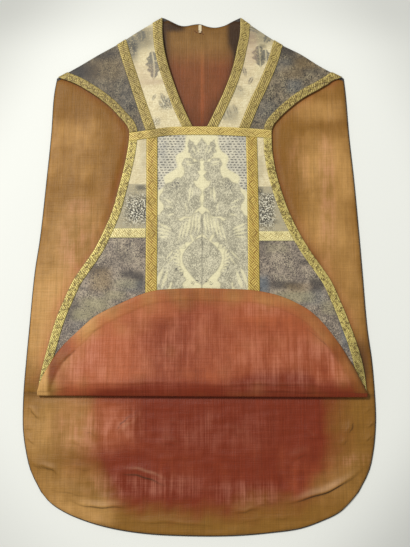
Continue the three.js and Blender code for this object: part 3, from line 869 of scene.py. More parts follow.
def lining_face(x, along):
    """The outer face of the front's lining, along the cloth: flat, round the fold, back over itself"""
    turn = np.clip(along / FOLD_RADIUS, 0, math.pi)
    up = np.maximum(along - FOLD_ARC, 0)
    y = fold_y(x) - np.minimum(along, 0) - FOLD_RADIUS * np.sin(turn) + up
    lying = FRONT_Z + lift(x, y)
    climb = ROLL_RISE * np.sin(ROLL_PACE * (turn - math.pi / 2))
    rolled = FRONT_Z + FOLD_RADIUS + np.where(turn < math.pi / 2, -FOLD_RADIUS * np.cos(turn), climb)
    short = CREST_RISE * np.maximum(0, 1 - up / CREST_AT) ** 2
    turned = CREST_HEIGHT + (FLAP_REST - CREST_HEIGHT) * smooth(up / FLAP_SETTLES) - short
    return np.stack([x, y, np.where(along <= 0, lying, np.where(up > 0, turned, rolled))])


def of_front(x, along, depth):
    """A point of the front this deep in from its lining's face"""
    across = lining_face(x + 0.4, along) - lining_face(x - 0.4, along)
    down = lining_face(x, along + 0.4) - lining_face(x, along - 0.4)
    square = np.cross(down, across, axis=0)
    return lining_face(x, along) + depth * square / np.linalg.norm(square, axis=0)


def place_lining_body(plan):
    def place(across, down):
        x, along = plan(across, down)
        up = along - FOLD_ARC
        x_, y, z = of_front(x, along, 0)
        rim = np.where(up > 0, flap_rim(x, up), 50)
        hem = 0.5 * smooth((HEM_ALLOWANCE - rim) / 4) - 0.4 * smooth(1 - rim / 4)
        soft = 0.5 * (1 + ripple(x, up, 75, 11)) + 0.12 * (1 + ripple(x, up / 3, 18, 12))
        folds, marks = creases(x, up, FLAP_CREASES)
        height = (folds + soft) * smooth(up / 10 + 0.4) * smooth(rim / 8) + hem
        shown = smooth((along / FOLD_ARC - 0.6) / 0.4)
        band = smooth((HEM_ALLOWANCE + 4 - rim) / 9)
        nose = smooth((34 + 22 * smooth((x - 60) / 60) * smooth((240 - x) / 40) - up) / 40)
        rimward = smooth((70 - rim) / 70)
        outer = smooth((-288 - x) / 14)
        # Painted shade along the flap's rounded rim at its right end
        shaded_right_rim = np.exp(-((rim / 7) ** 2)) * smooth((x - 262) / 36)
        tips = band * smooth((np.abs(x - 6) - 225) / 45) * smooth((x + 302) / 14)
        wander = 0.12 * ripple(x, up, 60, 13)
        ends = 0.6 * smooth((-268 - x) / 34) * nose + 0.2 * smooth((x - 290) / 22)
        red = 0.95 - 0.3 * rimward - 0.1 * band + 0.2 * tips * (x < 0) - 0.3 * outer
        red = red - 0.15 * smooth((-170 - x) / 130) - ends + wander
        faded = 0.36 + spots(x, up, FLAP_FADED) + 0.06 * rimward - tips * np.where(x < 0, 0.4, 0.2)
        # Less faded, so darker, towards the fold's nose: partly the cloth's deeper red, partly painted shade
        # where the roll turns from the light
        faded = faded + 0.75 * outer - 0.6 * nose * (1 - smooth((-160 - x) / 120))
        hem_line = 0.2 * np.exp(-(((rim - HEM_ALLOWANCE) / 2.2) ** 2)) * (up > 0)
        notes = {
            "red": red * (along > 0),
            "faded": faded,
            "glazed": spots(x, up, FLAP_SHEEN) * (1 - band),
            "marks": (marks - 0.5 * shaded_right_rim) * shown - hem_line,
        }
        return (x_, y, z + height * shown), notes

    return place


def joined_rows(*counts):
    """Shares down the whole cloth: 0 to 1 on the body, to 2 round the fold, to 3 on the flap"""
    parts = [np.linspace(at, at + 1, count + 1)[min(at, 1):] for at, count in enumerate(counts)]
    return np.concatenate(parts)


def turned_part(across, down):
    """Points of the turned-up part, up from the fold to its hem, with the distance counted down"""
    return settle(
        lambda y: flap_left(-y),
        lambda y: flap_right(-y),
        lambda x: x * 0,
        lambda x: -flap_hem(x),
        across,
        down,
    )


def whole_front(across, down):
    """Across and along the front's cloth from the chest to the hem, for the shares of joined_rows"""
    body = settle(front_left, front_right, chest_top, fold_y, across, np.minimum(down, 1))
    turned = turned_part(across, np.maximum(down - 2, 0))
    fold_share = np.clip(down - 1, 0, 1)
    x = np.where(down <= 1, body[0], body[0] + (turned[0] - body[0]) * fold_share)
    along = np.where(down <= 1, fold_y(body[0]) - body[1], fold_share * FOLD_ARC - turned[1])
    return x, along


def strap_plan(left, right, top, bottom):
    def plan(across, down):
        x, y = settle(left, right, top, bottom, across, down)
        return x, fold_y(x) - y

    return plan


STRAP_PARTS = [
    (front_left, seam_left),
    (seam_left, neck_left),
    (neck_right, seam_right),
    (seam_right, front_right),
]
strap_columns, strap_rows = np.linspace(0, 1, 13), np.linspace(0, 1, 25)
lining_meshes, chest_points, lining_area = [], [], 0
for left, right in STRAP_PARTS:
    plan = strap_plan(left, right, shifted(shoulder_y, -LINING_TOP), chest_top)
    lining_meshes.append(cloth_mesh(strap_columns, strap_rows, place_lining_body(plan)))
    x, along = plan(strap_columns, np.ones(len(strap_columns)))
    y = fold_y(x) - along
    chest_points.append((x - front_left(y)) / (front_right(y) - front_left(y)))
    lining_area += cut_area(strap_columns, strap_rows, plan)[0]
neck_foot = np.linspace(chest_points[1][-1], chest_points[2][0], 5)[1:-1]
chest_shares = np.concatenate([
    chest_points[0], chest_points[1][1:], neck_foot, chest_points[2], chest_points[3][1:]
])
coarse = np.arange(len(chest_shares))
fine_shares = np.interp(np.arange(0, len(coarse) - 0.9, 1 / 3), coarse, chest_shares)
front_rows = joined_rows(24, 20, 90)
lining_meshes.insert(0, cloth_mesh(fine_shares, front_rows, place_lining_body(whole_front)))
area, flat = cut_area(fine_shares, front_rows, whole_front)
# From the shoulders round the fold to the hem, with its allowance, in metres
sew("front_lining", lining_meshes, LINING, lining_cloth,
    turned=True)


# Turned-up shell: the front's own silk inside the fold, one sheet here. It starts halfway round the
# fold and is hidden but for its edge along the hem.
silk_edge, silk_edge_shader = finish_of("silk_edge", 0.7)
paint(silk_edge_shader, mixed(noise_of(silk_edge, (500, 500, 500)), seen(86, 72, 66), seen(140, 128, 104)))


def flap_plan(across, down):
    x, y = turned_part(across, np.clip(down, 0, 1))
    return x, FOLD_ARC - y + np.minimum(down, 0) * FOLD_ARC / 2


def place_flap_shell(across, down):
    x, along = flap_plan(across, down)
    return tuple(of_front(x, along, ON_LINING)), {}


flap_rows = np.concatenate([np.linspace(-1, 0, 9)[:-1], np.linspace(0, 1, 41)])
flap_columns = np.linspace(0, 1, 61)
area, flat = cut_area(flap_columns, flap_rows, flap_plan)
sew("flap_shell", [cloth_mesh(flap_columns, flap_rows, place_flap_shell)], SHELL, silk_edge,
    turned=True)


# Column: the front's middle panel, of cream silk figured in silver grey. Its mirrored pattern is a
# palmette, scrolls, two great blossoms and a pod between feathery leaves, on a ground of short
# broken dashes. Its edges meet the sides' under the galloons.
def leaf(x, y, root_x, root_y, tip_x, tip_y, wide, teeth=0, bow=0):
    """How far inside a leaf each point lies, and where along it and across it"""
    length = math.hypot(tip_x - root_x, tip_y - root_y)
    ux, uy = (tip_x - root_x) / length, (tip_y - root_y) / length
    along = (x - root_x) * ux + (y - root_y) * uy
    t = along / length
    across = (y - root_y) * ux - (x - root_x) * uy - bow * 4 * t * (1 - t)
    half = wide * np.sin(math.pi * np.clip(t, 0, 1) ** 0.85) * (1 + 0.2 * np.sin(2 * math.pi * teeth * t))
    return np.minimum(half - np.abs(across), length * (0.5 - np.abs(t - 0.5))), along, across


def blossom(x, y, centre_x, centre_y, radius, petals):
    """How far inside a round flower each point lies"""
    dx, dy = x - centre_x, y - centre_y
    return radius * (1 + 0.06 * np.cos(np.arctan2(dy, dx) * petals)) - np.hypot(dx, dy)


def cover(inside, soft=1.4):
    return smooth(inside / soft / 2 + 0.5)


def any_of(x, y, shape, rows):
    """How far inside the nearest of several like shapes each point lies"""
    found = [shape(x, y, *row) for row in rows]
    return np.max([np.broadcast_to(f[0] if shape is leaf else f, x.shape) for f in found], axis=0)


def strewn(x, y, leaves):
    """Veined leaves: their cover, and the places along and across the one on top"""
    best = [np.full(x.shape, -40.0), x * 0, x * 0]
    for row in leaves:
        drawn = leaf(x, y, *row)
        nearer = drawn[0] > best[0]
        best = [np.where(nearer, new, old) for new, old in zip(drawn, best)]
    return {"leaf": cover(best[0]), "along": best[1], "across": best[2]}


def silk_place(plan, notes):
    def place(across, down):
        x, along = plan(across, down)
        px, py, pz = of_front(x, along, ON_LINING + SHELL)
        return (px, py, pz + 0.25 * ripple(px, py, 40, 17) * smooth(along / -20)), notes(px, py)

    return place


def front_piece(name, plan, columns, rows, material, notes):
    mesh = cloth_mesh(columns, rows, silk_place(plan, notes))
    area, flat = cut_area(columns, rows, plan)
    sew(name, [mesh], SHELL, material)


# Rows are measured from the column's middle outwards: leaves and strokes as (root x, y, tip x, y,
# half-width, teeth, bow), blossoms as (across, height, radius, petals)
COLUMN_MIDDLE = 5
GREY_LEAVES = [
    (0, 208, 0, 256, 10, 3, 0),
    (2, 212, 26, 253, 11, 4, -4),
    (2, 208, 24, 226, 8, 2, 2),
    (4, 176, 44, 168, 14, 2, 3),
    (6, 206, 22, 172, 10, 3, 3),
    (18, 198, 38, 174, 9, 2, 0),
    (66, 108, 82, -26, 36, 6, 6),
    (20, 86, 66, 4, 24, 5, 6),
    (8, 100, 14, 40, 15, 3, 0),
    (60, 20, 84, -72, 24, 4, 2),
    (44, -16, 48, -74, 14, 3, 3),
]
GREY_BLOSSOMS = [(28, 200, 13, 6), (43, 128, 41, 9), (66, 58, 28, 7), (70, 4, 26, 7)]
POD = (0, 47, 0, -53, 39, 0, 0)
CREAM_STROKES = [
    (20, 204, 38, 207, 2.0),
    (18, 199, 35, 200, 1.6),
    (10, 240, 6, 222, 1.6),
    (20, 240, 12, 220, 1.6),
    (24, 152, 27, 118, 2.2),
    (18, 150, 20, 128, 1.4),
    (34, 120, 30, 96, 1.4),
    (62, 62, 92, 76, 2.6),
    (64, 57, 92, 66, 2.4),
    (66, 52, 92, 57, 2.2),
    (68, 47, 90, 47, 1.8),
    (4, 96, 8, 50, 2.4),
    (10, 98, 15, 54, 2.6),
    (16, 96, 24, 50, 2.2),
    (23, 90, 33, 44, 2.8),
    (30, 84, 42, 38, 2.2),
    (38, 78, 50, 34, 1.6),
    (60, 116, 80, 128, 1.4),
    (56, 108, 78, 112, 1.2),
    (54, 96, 74, 90, 1.2),
    (68, -20, 82, -64, 3.0),
    (78, -16, 94, -60, 3.6),
    (56, 20, 74, 0, 1.6),
    (52, 12, 70, -12, 1.6),
]
# Edge of the dashed ground, as rows of (height, distance from the middle)
GROUND_EDGE = [
    (262, 34),
    (240, 35),
    (228, 41),
    (219, 52),
    (190, 54),
    (181, 68),
    (175, 76),
    (152, 78),
    (142, 92),
]
DARK_SPOTS = [(54, 155, 9, 8), (10, -44, 4, 3), (18, -48, 4, 3), (40, -30, 3, 3), (52, -20, 3, 3)]
ground_edge = curve(GROUND_EDGE)


def column_notes(x, y):
    out = np.abs(x - COLUMN_MIDDLE + 1.2 * ripple(x, y, 30, 51))
    grey = np.maximum(any_of(out, y, leaf, GREY_LEAVES), any_of(out, y, blossom, GREY_BLOSSOMS))
    pod = leaf(out, y, *POD)[0]
    stem = 3.4 + 1.3 * np.sin(y / 1.9) - out - 40 * smooth((y - 212) / 4) - 40 * smooth((112 - y) / 6)
    strokes = any_of(out, y, leaf, CREAM_STROKES)
    spread = np.sin(np.arctan2(y + 3, out) * 44 + 0.25 * pod)
    feather = 7 - np.abs(pod + 8) + 4.5 * spread - 30 * smooth((y - 30) / 12)
    cream = np.maximum(np.maximum(stem, strokes), feather)
    middle_line = 1.2 - out - 40 * smooth((y - 92) / 4)
    rings = 1.0 - np.abs(np.maximum(grey, pod))
    dashed = cover(out - np.where(y > 142, ground_edge(y), 300), 3)
    return {
        "grey": np.maximum(cover(grey, 2), cover(pod)) * (1 - dashed),
        "cream": cover(cream) * (1 - cover(pod, 0.8)),
        "dashed": dashed,
        "inked": np.maximum(0.9 * cover(middle_line), 0.6 * cover(rings)),
        "spotted": cover(any_of(out, y, blossom, DARK_SPOTS)),
        "blue": dashed * smooth((out - 66) / 16) * smooth((y - 200) / 30),
    }


def scribbled(material, dark, light, fine=430):
    """Grey silk crossed by fine curling lines"""
    curls = noise_of(material, (fine, fine * 0.7, fine), 2, 1.2)
    clouds = noise_of(material, (70, 70, 70), 3)
    return mixed((curls + clouds * 0.4).step(0.6, 0.82), dark, light)


silver_silk, silver_shader = finish_of("silver_brocade", 0.5, specular=0.4)
grey, cream, dashed, inked, spotted, blue = (
    value_at(silver_silk, key) for key in ("grey", "cream", "dashed", "inked", "spotted", "blue")
)
place_x, place_y = across_and_up(silver_silk)
DASH_ROW, DASH_LENGTH = 0.0056, 0.0082
row_of = place_y / DASH_ROW
dash_shift = row_of.whole() * 0.37 + noise_of(silver_silk, (90, 180, 1)) * 1.6
dash_along = (place_x / DASH_LENGTH + dash_shift).beyond_whole()
dash_up = (row_of.beyond_whole() - 0.5).size()
dash = dash_up.step(0.34, 0.2) * (dash_along - 0.5).size().step(0.36, 0.26)
grain = noise_of(silver_silk, (520, 520, 520), 2)
clouded = noise_of(silver_silk, (45, 45, 45)).step(0.35, 0.65)
ground = mixed(clouded, seen(194, 189, 170), seen(216, 209, 184))
ground = mixed(dash * grain.step(0.3, 0.5) * 0.85, ground, seen(84, 82, 78))
ground = mixed(dashed, mixed(grain.step(0.3, 0.62), seen(210, 202, 162), seen(232, 224, 184)), ground)
figure = scribbled(silver_silk, seen(146, 141, 120), seen(216, 209, 178), 520)
base = mixed(grey, ground, figure)
base = mixed(cream * grain.step(0.3, 0.5) * 0.85, base, seen(232, 224, 182))
base = mixed(blue * grain.step(0.3, 0.7) * 0.42, base, seen(108, 112, 122))
base = mixed(inked * 0.7, base, seen(98, 94, 82))
base = mixed(spotted * grain.step(0.5, 0.56) * 0.85, base, seen(62, 60, 66))
ribs = noise_of(silver_silk, (60, 900, 60), 2)
paint(silver_shader, lit(base, ribs * 0.4 + 0.78), ribs + figure, 0.0002)

column_left, column_right = curve(COLUMN_SEAMS), curve(COLUMN_SEAMS, 2)
column_edges = shifted(column_left, GAP / 2), shifted(column_right, -GAP / 2)
COLUMN_SHOWN = 0.64
column_rows = np.concatenate([np.linspace(0, COLUMN_SHOWN, 231), np.linspace(COLUMN_SHOWN, 1, 30)[1:]])
front_piece("front_column", strap_plan(*column_edges, shifted(chest_seam, -GAP / 2), fold_y),
            np.linspace(0, 1, 151), column_rows, silver_silk, column_notes)


# Straps and sides: each strap is a cream silk band by the neck and a dark brocade wedge by the armhole,
# each side a cream piece above and a brocade piece below the short bar. All are cut from older silks
# with veined leaves and patches of other colours, and meet under the galloons.
def brocade(name, dark, light, veins, tints):
    """Brocade: mottled ground, leaves drawn in veins, and a tint wherever the mesh carries it"""
    material, shader = finish_of(name, 0.55, specular=0.35)
    grain = noise_of(material, (520, 400, 520), 3, 0.8)
    clouds = noise_of(material, (80, 64, 80), 4, 0.6)
    base = mixed((grain * 1.5 + clouds * 0.6).step(0.82, 1.24), dark, light)
    figure = (clouds - 0.5).size().step(0.05, 0.015)
    base = mixed(figure * grain.step(0.4, 0.6) * 0.5, base, dark)
    leaf_at, along, across = (value_at(material, key) for key in ("leaf", "along", "across"))
    slant = (along - across.size() * 1.3) / 5.2
    lines = (slant.beyond_whole() - 0.5).size().step(0.28, 0.42) + across.size().step(1.2, 0.4) * 0.5
    drawn = mixed(leaf_at * lines * grain.step(0.42, 0.58) * 0.65, base, veins)
    fleck = noise_of(material, (420, 420, 420), 2)
    grainy = (grain + clouds * 0.4).step(0.42, 0.72)
    for key, colour, amount in tints:
        drawn = mixed(value_at(material, key) * grainy * amount, drawn, colour)
    flecked = value_at(material, "flecked")
    drawn = mixed(flecked * fleck.step(0.46, 0.51) * 0.95, drawn, seen(58, 57, 54))
    drawn = mixed(flecked * fleck.step(0.46, 0.41) * 0.85, drawn, seen(232, 228, 208))
    ribs = noise_of(material, (50, 800, 50), 2)
    paint(shader, lit(drawn, ribs * 0.5 + 0.73), grain + ribs + leaf_at * 0.6, 0.0003)
    return material


DARK_TINTS = [
    ("black", seen(34, 33, 38), 0.9),
    ("blue", seen(84, 100, 112), 0.7),
    ("olive", seen(160, 152, 116), 0.75),
    ("gold", seen(150, 122, 72), 0.5),
]
CREAM_TINTS = [
    ("haze", seen(120, 111, 90), 0.9),
    ("grey", seen(108, 105, 94), 0.95),
    ("black", seen(46, 45, 44), 0.9),
    ("rose", seen(166, 134, 114), 0.5),
]
purple_silk = brocade(
    "purple_brocade", seen(78, 70, 67), seen(172, 157, 137), seen(200, 188, 156), DARK_TINTS
)
wedge_silk = brocade(
    "wedge_brocade", seen(54, 49, 43), seen(146, 132, 107), seen(180, 168, 134), DARK_TINTS
)
cream_silk = brocade(
    "cream_brocade", seen(204, 188, 146), seen(232, 220, 180), seen(236, 228, 196), CREAM_TINTS
)

# Patches and leaves of each piece, by its side as it lies: patches are rows of (across, height,
# half-width, half-height, how much), leaves as the column's. "below" is the height under which the
# cream silk's grey figure begins.
WEDGES = {
    "left": {
        "black": [
            (-242, 406, 34, 20, 0.97), (-205, 440, 26, 10, 0.7), (-256, 404, 20, 9, 0.9),
            (-190, 385, 95, 115, 0.3),
        ],
        "gold": [(-200, 410, 40, 26, 0.4)],
        "blue": [(-150, 352, 26, 34, 0.15)],
        "leaves": [
            (-262, 396, -224, 420, 7, 3, 3), (-214, 396, -196, 436, 9, 3, -4),
            (-186, 384, -176, 440, 9, 3, 4), (-176, 350, -158, 396, 8, 3, 3),
            (-158, 320, -142, 356, 7, 3, -3), (-212, 370, -190, 384, 6, 2, 2),
            (-148, 300, -128, 322, 6, 2, 2),
        ],
    },
    "right": {
        "black": [(186, 452, 26, 12, 0.7), (206, 428, 22, 12, 0.7), (230, 408, 24, 10, 0.5)],
        "gold": [(226, 424, 26, 14, 0.7), (196, 402, 24, 16, 0.4)],
        "blue": [(172, 420, 22, 16, 0.3), (199, 371, 18, 16, 0.5), (140, 318, 24, 24, 0.3)],
        "leaves": [
            (176, 446, 196, 412, 8, 3, 3), (206, 434, 188, 396, 9, 3, -4),
            (240, 410, 214, 384, 7, 3, 3), (170, 404, 176, 362, 9, 3, 4),
            (156, 372, 146, 330, 8, 3, -4), (150, 330, 128, 304, 7, 2, 2),
            (200, 376, 176, 350, 7, 2, 2),
        ],
    },
}
BANDS = {
    "left": {
        "grey": [(-145, 462, 22, 26, 0.4)],
        "haze": [(-126, 482, 34, 30, 0.95), (-146, 452, 16, 30, 0.9)],
        "flecked": [(-72, 332, 13, 16, 0.45), (-91, 292, 10, 9, 0.6)],
        "rose": [(-118, 392, 30, 30, 0.5), (-96, 380, 30, 6, 0.8)],
        "black": [(-143, 462, 9, 12, 0.6)],
        "grey_leaves": [
            (-102, 450, -97, 383, 15, 5, 3), (-86, 436, -104, 404, 9, 4, 0),
            (-150, 490, -142, 436, 14, 7, 0), (-82, 356, -70, 330, 4, 3, 0),
            (-62, 346, -74, 318, 5, 6, 0), (-70, 342, -58, 318, 4, 4, 0),
            (-86, 338, -74, 320, 3, 3, 0), (-130, 502, -126, 470, 9, 5, 4),
            (-70, 372, -62, 352, 4, 3, 0), (-92, 352, -100, 338, 3, 3, 0),
        ],
        "leaves": [],
    },
    "right": {
        "grey": [(66, 309, 16, 18, 0.45), (82, 357, 14, 14, 0.3)],
        "haze": [(122, 488, 44, 24, 0.8), (58, 306, 22, 26, 0.1)],
        "flecked": [(60, 300, 20, 16, 0.05)],
        "rose": [(108, 452, 14, 36, 0.95), (104, 482, 16, 14, 0.7), (92, 400, 22, 30, 0.35)],
        "black": [(130, 434, 7, 12, 0.4), (134, 462, 8, 5, 0.6)],
        "grey_leaves": [
            (126, 464, 129, 412, 15, 4, 0), (140, 456, 141, 424, 8, 4, 0), (44, 318, 56, 292, 4, 3, 0),
            (58, 326, 66, 294, 4, 3, 0), (70, 332, 80, 304, 4, 3, 0), (150, 490, 138, 468, 8, 4, 0),
            (100, 506, 128, 492, 5, 4, 2), (92, 414, 98, 390, 4, 4, 0), (112, 392, 102, 372, 4, 4, 0),
            (78, 372, 92, 356, 4, 3, 0),
        ],
        "leaves": [(96, 470, 118, 430, 9, 3, 4), (104, 500, 98, 462, 8, 3, -4)],
    },
}
UPPERS = {
    "left": {
        "below": 158,
        "grey": [(-150, 76, 34, 16, 0.3), (-112, 220, 12, 44, 0.25)],
        "flecked": [(-124, 104, 30, 32, 1.0)],
        "black": [(-116, 150, 16, 6, 0.8), (-124, 92, 14, 10, 0.4)],
        "leaves": [],
    },
    "right": {
        "below": 153,
        "grey": [(160, 86, 20, 20, 0.2), (124, 190, 10, 30, 0.3)],
        "flecked": [(136, 104, 18, 40, 1.0), (120, 160, 6, 14, 0.7), (150, 130, 10, 8, 0.7)],
        "black": [(122, 143, 8, 8, 0.9), (122, 100, 7, 12, 0.7), (140, 78, 22, 5, 0.5)],
        "leaves": [],
    },
}
LOWERS = {
    "left": {
        "black": [
            (-137, -31, 24, 9, 0.75), (-205, -20, 20, 7, 0.7), (-252, -102, 16, 22, 0.6),
            (-120, -44, 10, 16, 0.7), (-150, 4, 14, 12, 0.4), (-300, -200, 20, 30, 0.5),
        ],
        "blue": [(-136, -54, 24, 12, 0.5), (-230, -140, 30, 20, 0.3)],
        "olive": [
            (-208, -92, 30, 15, 0.9), (-231, -112, 22, 12, 0.9), (-170, -72, 22, 10, 0.7),
            (-150, -50, 26, 10, 0.6),
        ],
        "gold": [(-198, -41, 22, 24, 0.9)],
        "leaves": [
            (-178, 44, -140, -12, 17, 0, 8), (-136, 42, -116, -20, 13, 0, -6),
            (-196, 30, -206, -16, 10, 0, 4), (-214, -34, -188, -66, 12, 0, 0),
            (-166, -22, -122, -62, 13, 0, -8), (-240, -50, -258, -96, 11, 0, 4),
            (-232, -66, -196, -102, 12, 0, 5), (-262, -102, -292, -150, 12, 0, -4),
            (-250, -90, -222, -136, 11, 0, 3),
        ],
    },
    "right": {
        "black": [
            (172, -52, 34, 9, 0.75), (236, -52, 16, 14, 0.8), (222, -6, 24, 6, 0.5),
            (132, 26, 12, 16, 0.5), (280, -110, 16, 24, 0.5),
        ],
        "blue": [(126, -52, 14, 20, 1.0), (230, -78, 26, 16, 0.5), (296, -150, 16, 30, 0.8)],
        "olive": [(190, -76, 40, 12, 0.8), (158, 24, 22, 10, 0.4), (262, -96, 20, 14, 0.6)],
        "gold": [(196, -58, 26, 10, 0.6)],
        "leaves": [
            (196, 42, 230, -20, 12, 0, 6), (132, 44, 158, -26, 16, 0, 6),
            (166, 42, 194, -34, 13, 0, -6), (206, -20, 246, -62, 13, 0, 6),
            (148, -30, 186, -70, 13, 0, 5), (240, -62, 272, -120, 13, 0, -5),
            (262, -90, 300, -150, 12, 0, 4), (204, -66, 236, -96, 11, 0, 3),
        ],
    },
}


def patched(tables):
    """The leaves and patches of a piece; a pattern that begins at a line covers all that lies below it"""
    def notes(x, y):
        marks = strewn(x, y, tables["leaves"]) if tables["leaves"] else {}
        for key in ("black", "blue", "olive", "gold", "rose", "grey", "flecked", "haze"):
            if key in tables:
                marks[key] = spots(x, y, tables[key])
        if "grey_leaves" in tables:
            leaves = cover(any_of(x, y, leaf, tables["grey_leaves"]), 0.9)
            drawn = strewn(x, y, tables["grey_leaves"])
            midribs = drawn["leaf"] * np.exp(-((drawn["across"] / 1.3) ** 2))
            marks["grey"] = np.maximum(marks["grey"], leaves) * (1 - 0.8 * midribs)
        if "below" in tables:
            marks["grey"] = np.maximum(marks["grey"], 0.6 * cover(tables["below"] - y, 0.8))
            marks["flecked"] = marks["flecked"] * cover(tables["below"] - 14 - y, 2)
        return marks

    return notes


SHORT_BAR_Y = {"left": 54.5, "right": 48.2}
DIP_SHARES = np.array([0, 0.004, 0.008, 0.012, 0.016, 0.021, 0.027])
HANDS = {
    "left": {"way": -1, "edge": front_left, "seam": seam_left, "neck": neck_left, "column": column_left},
    "right": {"way": 1, "edge": front_right, "seam": seam_right, "neck": neck_right, "column": column_right},
}
strap_shares = np.concatenate([DIP_SHARES, np.linspace(0.033, 1, 120)])
strap_across = np.linspace(0, 1, 61)


def between(way, outer, inner):
    return (outer, inner) if way < 0 else (inner, outer)


def level(y):
    return lambda x: x * 0 + y


for hand, lines in HANDS.items():
    way, bar_y = lines["way"], SHORT_BAR_Y[hand]
    strap_top, strap_foot = shifted(shoulder_y, -SHOULDER_INSET), shifted(chest_seam, GAP / 2)
    wedge = between(way, lines["edge"], shifted(lines["seam"], way * GAP / 2))
    band = between(way, shifted(lines["seam"], -way * GAP / 2), lines["neck"])
    side = between(way, lines["edge"], shifted(lines["column"], way * GAP / 2))
    upper = strap_plan(*side, shifted(chest_seam, -GAP / 2), level(bar_y + GAP / 2))
    lower = strap_plan(*side, level(bar_y - GAP / 2), fold_y)
    front_piece(f"shoulder_wedge_{hand}", strap_plan(*wedge, strap_top, strap_foot), strap_across,
                strap_shares, wedge_silk, patched(WEDGES[hand]))
    front_piece(f"shoulder_band_{hand}", strap_plan(*band, strap_top, strap_foot), strap_across,
                strap_shares, cream_silk, patched(BANDS[hand]))
    front_piece(f"front_side_upper_{hand}", upper, np.linspace(0, 1, 41), np.linspace(0, 1, 121),
                cream_silk, patched(UPPERS[hand]))
    front_piece(f"front_side_lower_{hand}", lower, np.linspace(0, 1, 91), np.linspace(0, 1, 141),
                purple_silk, patched(LOWERS[hand]))


# Galloons: gold lace woven in lozenges of slanted stitches, sewn flat over every seam and along every
# edge. The lace of the column is the brightest, that of the short bars the palest, the rest is dull.
NECK_GALLOON = 20
SHOULDER_GALLOON = 21
COLUMN_GALLOON = 23
EDGE_GALLOON = 17
SHORT_BAR = 20

# Where the lace is tarnished, as rows of (across, height, half-width, half-height, how much)
DULLED = [
    (-82, 270, 26, 16, 1.0),
    (-76, 440, 20, 110, 0.48),
    (-140, 400, 28, 90, 0.35),
    (-215, 350, 90, 60, 0.4),
    (316, -205, 16, 45, 0.7),
    (-98, 100, 16, 170, 0.16),
    (-130, 54, 50, 14, 0.25),
]


def gold_lace(name, bright, dark, pitch, stitch, specks=0.0):
    """Gold lace: slanted stitches that turn at the edge of each lozenge, with painted shade along the
    selvages
    """
    material, shader = finish_of(name, 0.42, specular=0.5, metallic=0.2)
    across, along = value_at(material, "across"), value_at(material, "along")
    side = across.size()
    grain = noise_of(material, (620, 620, 620), 2)
    tarnish = noise_of(material, (55, 55, 55), 4)
    lozenge = ((along / pitch).beyond_whole() - 0.5).size() * 2.2
    turned = (lozenge - side).step(0.42, 0.46)
    slant = along + across * (turned * 2 - 1) * stitch * 2.1 + grain * 1.1
    thread = ((slant / stitch).beyond_whole() - 0.5).size().step(0.12, 0.32)
    rim = (lozenge - side - 0.44).size().step(0.12, 0.03)
    heart = (lozenge + side * 1.2).step(0.5, 0.1)
    shine = thread * 0.75 + side.step(0.72, 0.95) * 0.4 - rim * 0.2 - heart * 0.3 + (grain - 0.5) * 0.8 + 0.12
    base = mixed(shine, dark, bright)
    base = mixed(tarnish.step(0.46, 0.72) * 0.35, base, seen(112, 92, 48))
    if specks:
        speck = noise_of(material, (230, 230, 230), 1) + grain * 0.2 + heart * 0.12
        base = mixed(speck.step(0.64, 0.7) * specks, base, seen(84, 62, 26))
    # Painted shade along the lace's selvages, where it lies on the silk
    base = mixed(side.step(0.93, 1.0) * 0.35, base, seen(70, 54, 26))
    base = mixed(value_at(material, "dull") * (grain + 0.3).step(0.5, 1.0), base, seen(112, 96, 46))
    paint(shader, base, thread + rim + grain, 0.0004)
    return material


LACES = {
    "neck": gold_lace("lace_neck", seen(208, 187, 108), seen(106, 84, 34), 38, 5.6, 0.3),
    "column": gold_lace("lace_column", seen(222, 200, 102), seen(144, 96, 34), 34, 5.8),
    "bar": gold_lace("lace_bar", seen(242, 219, 128), seen(146, 110, 42), 24, 5.6),
    "short": gold_lace("lace_short", seen(254, 244, 182), seen(200, 176, 104), 12, 4.8),
    "edge": gold_lace("lace_edge", seen(200, 180, 104), seen(130, 108, 50), 16, 4.4, 0.7),
    "side": gold_lace("lace_side", seen(236, 220, 134), seen(156, 132, 58), 16, 4.4, 0.7),
}


def lace(name, kind, wide, left, right, top, bottom, cross, length_rows, upright=True):
    """A strip of galloon on the front, its pattern running along it"""
    def plan(across, down):
        x, y = settle(left, right, top, bottom, across, down)
        return x, fold_y(x) - y

    shares = np.linspace(0, 1, length_rows + 1)
    if upright:
        shares = np.concatenate([DIP_SHARES, np.linspace(0.033, 1, length_rows)])
    halves = np.full(shares.shape, 0.5)
    middle = plan(halves, shares) if upright else plan(shares, halves)
    length = np.concatenate([[0], np.cumsum(np.hypot(np.diff(middle[0]), np.diff(middle[1])))])

    def place(across, down):
        x, along = plan(across, down)
        run, side = (down, across) if upright else (across, down)
        px, py, pz = of_front(x, along, ON_SHELL + GALLOON)
        rounded = 0.3 * smooth((1 - np.abs(2 * side - 1)) / 0.2) - 0.3
        notes = {
            "across": 2 * side - 1,
            "along": np.interp(run, shares, length),
            "dull": spots(px, py, DULLED),
        }
        return (px, py, pz + rounded), notes

    sides = np.linspace(0, 1, cross + 1)
    columns, rows = (sides, shares) if upright else (shares, sides)
    mesh = cloth_mesh(columns, rows, place)
    area, _ = cut_area(columns, rows, plan)
    flat = (wide * MM, max(area / (wide * MM), length[-1] * MM))
    sew(name, [mesh], GALLOON, LACES[kind])


